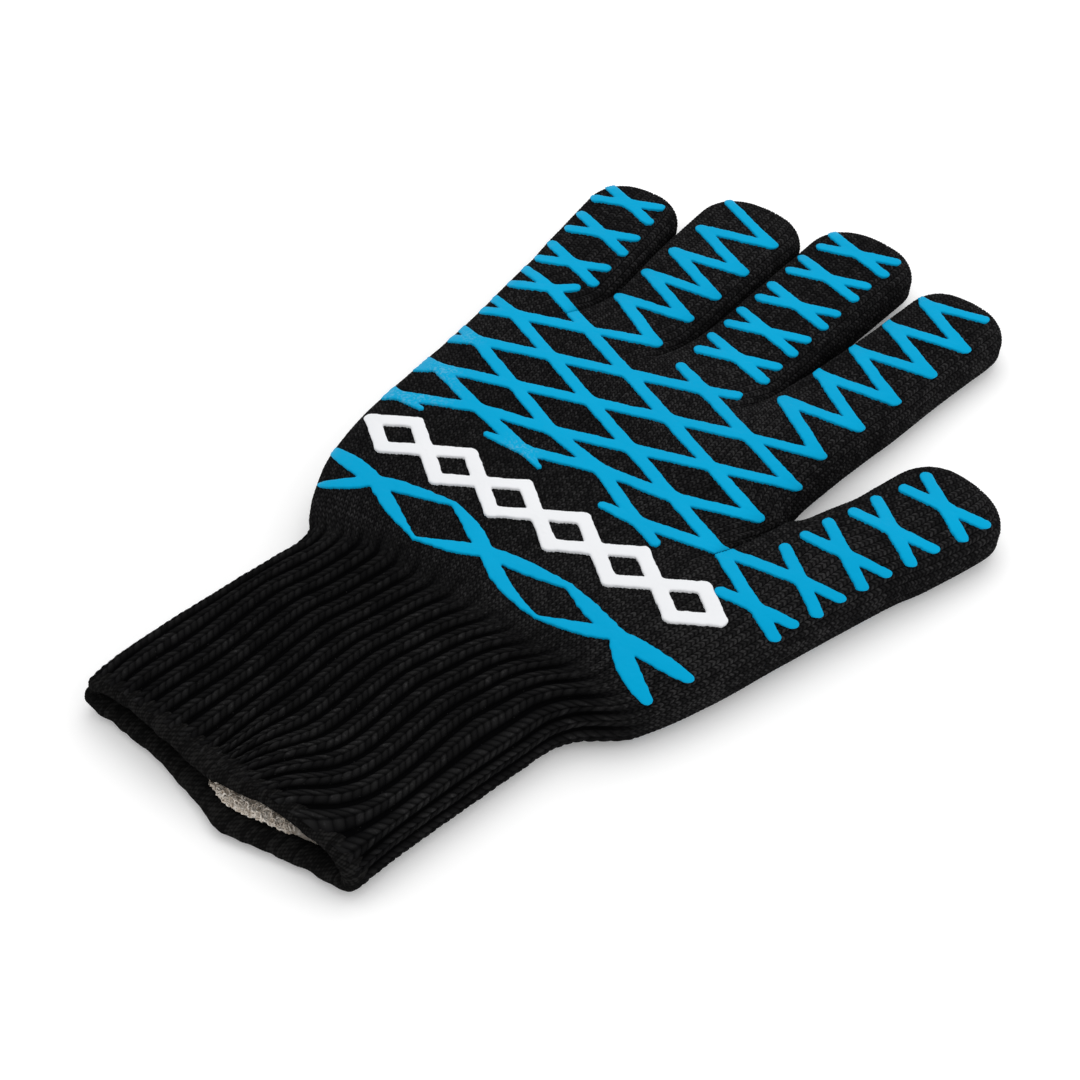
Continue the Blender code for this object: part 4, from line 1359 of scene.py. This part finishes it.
def outline_mesh(grid_x, grid_y, distance):
    """Polygons that fill distance < 0, with vertices where the outline crosses the grid.

    Returns x, y, depth inside, the number of the first outline vertex, faces, outline edges.
    """
    inside = distance < 0
    first_cut = int(inside.sum())
    ids = -np.ones(distance.shape, int)
    ids[inside] = np.arange(first_cut)
    columns, rows = np.nonzero(inside)
    xs, ys, deep = list(grid_x[columns]), list(grid_y[rows]), list(-distance[columns, rows])
    cuts = {}

    def cut(near, far):
        key = (near, far) if near < far else (far, near)
        if key not in cuts:
            t = distance[near] / (distance[near] - distance[far])
            t = min(max(t, 0.04), 0.96)
            cuts[key] = len(xs)
            xs.append(grid_x[near[0]] + (grid_x[far[0]] - grid_x[near[0]]) * t)
            ys.append(grid_y[near[1]] + (grid_y[far[1]] - grid_y[near[1]]) * t)
            deep.append(0.0)
        return cuts[key]

    corners = inside[:-1, :-1].astype(int) + inside[1:, :-1] + inside[1:, 1:] + inside[:-1, 1:]
    i, j = np.nonzero(corners == 4)
    quads = np.stack([ids[i, j], ids[i + 1, j], ids[i + 1, j + 1], ids[i, j + 1]], -1)
    faces, rims = [list(quad) for quad in quads], []
    corner, leaves, returns = 0, 1, 2
    for i, j in zip(*np.nonzero((corners > 0) & (corners < 4))):
        ring = [(i, j), (i + 1, j), (i + 1, j + 1), (i, j + 1)]
        face, marks = [], []
        for here, after in zip(ring, ring[1:] + ring[:1]):
            if inside[here]:
                face.append(int(ids[here]))
                marks.append(corner)
            if inside[here] != inside[after]:
                face.append(cut(here, after))
                marks.append(leaves if inside[here] else returns)
        if marks.count(leaves) == 2:  # only opposite corners are inside: two separate pieces
            start = marks.index(returns)
            face = face[start:] + face[:start]
            for k in (0, 3):
                faces.append(face[k : k + 3])
                rims.append((face[k + 2], face[k]))
            continue
        faces.append(face)
        for k in range(len(face)):
            after = (k + 1) % len(face)
            if marks[k] == leaves and marks[after] == returns:
                rims.append((face[k], face[after]))
    return np.array(xs), np.array(ys), np.array(deep), first_cut, faces, rims


def drop(x, y):
    """Points of the print's plane carried along the lines from EYE to the surface.

    Returns pattern x, y, the height and the room to the outline there.
    """
    at_x, at_y = x.copy(), y.copy()
    for _ in range(9):
        z, _ = surface(at_x, at_y)
        fall = (PRINT_TOP - z - 0.0003) / U / EYE[2]
        at_x = 0.35 * at_x + 0.65 * (x + (x - EYE[0]) * fall)
        at_y = 0.35 * at_y + 0.65 * (y + (y - EYE[1]) * fall)
    return at_x, at_y, *surface(at_x, at_y)


def surface_normal(x, y):
    step = 0.02
    slope_x = (surface(x + step, y)[0] - surface(x - step, y)[0]) / (2 * step * U)
    slope_y = (surface(x, y + step)[0] - surface(x, y - step)[0]) / (2 * step * U)
    slope_x, slope_y = np.clip(slope_x, -2.5, 2.5), np.clip(slope_y, -2.5, 2.5)
    return unit(np.stack([-slope_x, -slope_y, np.ones_like(slope_x)], -1))


def trim(grid_x, grid_y, distance, low):
    """Stops the print short of the cloth's sides and of faces turned from the camera."""
    near = np.nonzero(distance < 0.001)
    x, y, _, room = drop(grid_x[near[0]], grid_y[near[1]])
    facing = surface_normal(x, y) @ np.array(VIEW_BACK)
    margin = 0.0065 if low else 0.0006
    spare = np.minimum(room - margin, (facing - 0.27) * 0.006)
    distance[near] = np.maximum(distance[near], -spare)


def print_points(x, y, deep, dropped, low, thick):
    """(the print's skin, its foot inside the cloth) over every point."""
    t = np.clip(1 - deep / 0.00040, 0, 1)  # the edges are rounded over this width
    rise = 0.66 + 0.34 * np.sqrt(np.clip(1 - t * t, 0, 1))
    texture = 0.00005 * noise(x * U / 0.0009, y * U / 0.0009, 51)
    texture = texture + 0.00006 * noise(x * U / 0.003, y * U / 0.003, 52)
    base = frame_points(np.stack(dropped, -1))
    if low:
        skin, foot = base.copy(), base
        skin[:, 2] = np.maximum(FLOOR - (FLOOR - 0.0001) * rise - texture, 0.00003)
        foot[:, 2] = FLOOR + 0.0004
        return skin, foot
    normals = surface_normal(dropped[0], dropped[1])
    crown = 0.00034 + thick * rise + texture + 0.00008 * np.clip(deep / 0.002, 0, 1)
    return base + normals * crown[:, None], base - normals * 0.00035


def print_layer(
    prefix, strokes, stands_for, low=False, material=BLUE, thick=0.00070
):
    """Raised silicone for a set of strokes, split along the cloth's own seams."""
    step = (0.0008 if low else by_detail(0.00044)) / U
    grid_x, grid_y, distance = field(strokes, step)
    trim(grid_x, grid_y, distance, low)
    x, y, deep, first_cut, faces, rims = outline_mesh(grid_x, grid_y, distance)
    at_x, at_y, at_z, _ = drop(x, y)
    skin, foot = print_points(x, y, deep, (at_x, at_y, at_z), low, thick)
    # walls join each outline vertex to its foot, which comes `further` places later
    points = np.vstack([skin, foot[first_cut:]])
    further = len(x) - first_cut
    faces += [[b, a, a + further, b + further] for a, b in rims]
    if low:
        faces = [face[::-1] for face in faces]
    where_x = np.concatenate([at_x, at_x[first_cut:]])
    where_y = np.concatenate([at_y, at_y[first_cut:]])
    number = region(
        np.array([where_x[face].mean() for face in faces]),
        np.array([where_y[face].mean() for face in faces]),
    )
    if low:
        number = np.where(number == 0, 1, number)
    rim = np.concatenate([np.clip(deep / 0.0009, 0, 1), np.zeros(further)])
    worn = sum(bell(x, y, *centre, radius, radius) for *centre, radius in WORN_SPOTS)
    worn = np.concatenate([worn, worn[first_cut:] * 0.3])
    for n, name in enumerate(PIECES):
        chosen = [face for face, face_number in zip(faces, number) if face_number == n]
        if not chosen:
            continue
        used = np.unique(np.concatenate(chosen))
        index = np.zeros(len(points), int)
        index[used] = np.arange(len(used))
        mesh = make_mesh(f"{prefix}_{name}", points[used], [index[face] for face in chosen])
        add_attribute(mesh, "rim", rim[used])
        add_attribute(mesh, "wear", worn[used])
        obj = put(f"{prefix}_{name}", mesh, material)
        attach(obj, name)
        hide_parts(stands_for.format("palm_lattice" if name == "palm" else name))


LATTICE_STROKES = palm_strokes() + finger_strokes() + thumb_strokes()
WRIST_STROKES = wrist_strokes()
print_layer("print", LATTICE_STROKES, "print_{}")
print_layer("print_row", WRIST_STROKES, "print_wrist_row")
print_layer(
    "print_mark", mark_strokes(), "print_mark_row",
    material=WHITE, thick=0.00085,
)
print_layer("grip", LATTICE_STROKES, "under_{}", low=True)
print_layer("grip_row", WRIST_STROKES, "under_wrist_row", low=True)


# ---------------------------------------------------------------- floor, light, camera
def build_floor():
    mesh = bpy.data.meshes.new("floor")
    corners = [(-6, -6, 0), (6, -6, 0), (6, 6, 0), (-6, 6, 0)]
    mesh.from_pydata(corners, [], [(0, 1, 2, 3)])
    put("floor", mesh, floor_material())


def build_world():
    world = bpy.data.worlds.new("studio")
    bpy.context.scene.world = world
    world.use_nodes = True
    background = world.node_tree.nodes["Background"]
    background.inputs["Color"].default_value = (1, 1, 1, 1)
    background.inputs["Strength"].default_value = 0.80


def softbox(name, place, aim, size, power):
    light = bpy.data.lights.new(name, "AREA")
    light.shape, light.size, light.energy = "SQUARE", size, power
    obj = bpy.data.objects.new(name, light)
    obj.location = place
    obj.rotation_mode = "QUATERNION"
    obj.rotation_quaternion = (Vector(aim) - Vector(place)).to_track_quat("-Z", "Y")
    bpy.context.scene.collection.objects.link(obj)


def build_camera():
    data = bpy.data.cameras.new("camera")
    data.lens, data.sensor_width = 71.67, 36
    data.clip_start, data.clip_end = 0.02, 20
    camera = bpy.data.objects.new("camera", data)
    place = (0.30676, -0.38879, 0.45586)
    camera.matrix_world = Matrix((*zip(VIEW_RIGHT, VIEW_UP, VIEW_BACK, place), (0, 0, 0, 1)))
    scene = bpy.context.scene
    scene.collection.objects.link(camera)
    scene.camera = camera
    scene.view_settings.view_transform = "Standard"
    scene.view_settings.look = "None"


build_floor()
build_world()
softbox("softbox_top", place=(-0.20, 0.40, 0.95), aim=(0, 0, 0), size=1.0, power=3.2)
softbox("softbox_side", place=(0.75, 0.35, 0.60), aim=(0, 0, 0.01), size=0.6, power=1.2)
build_camera()
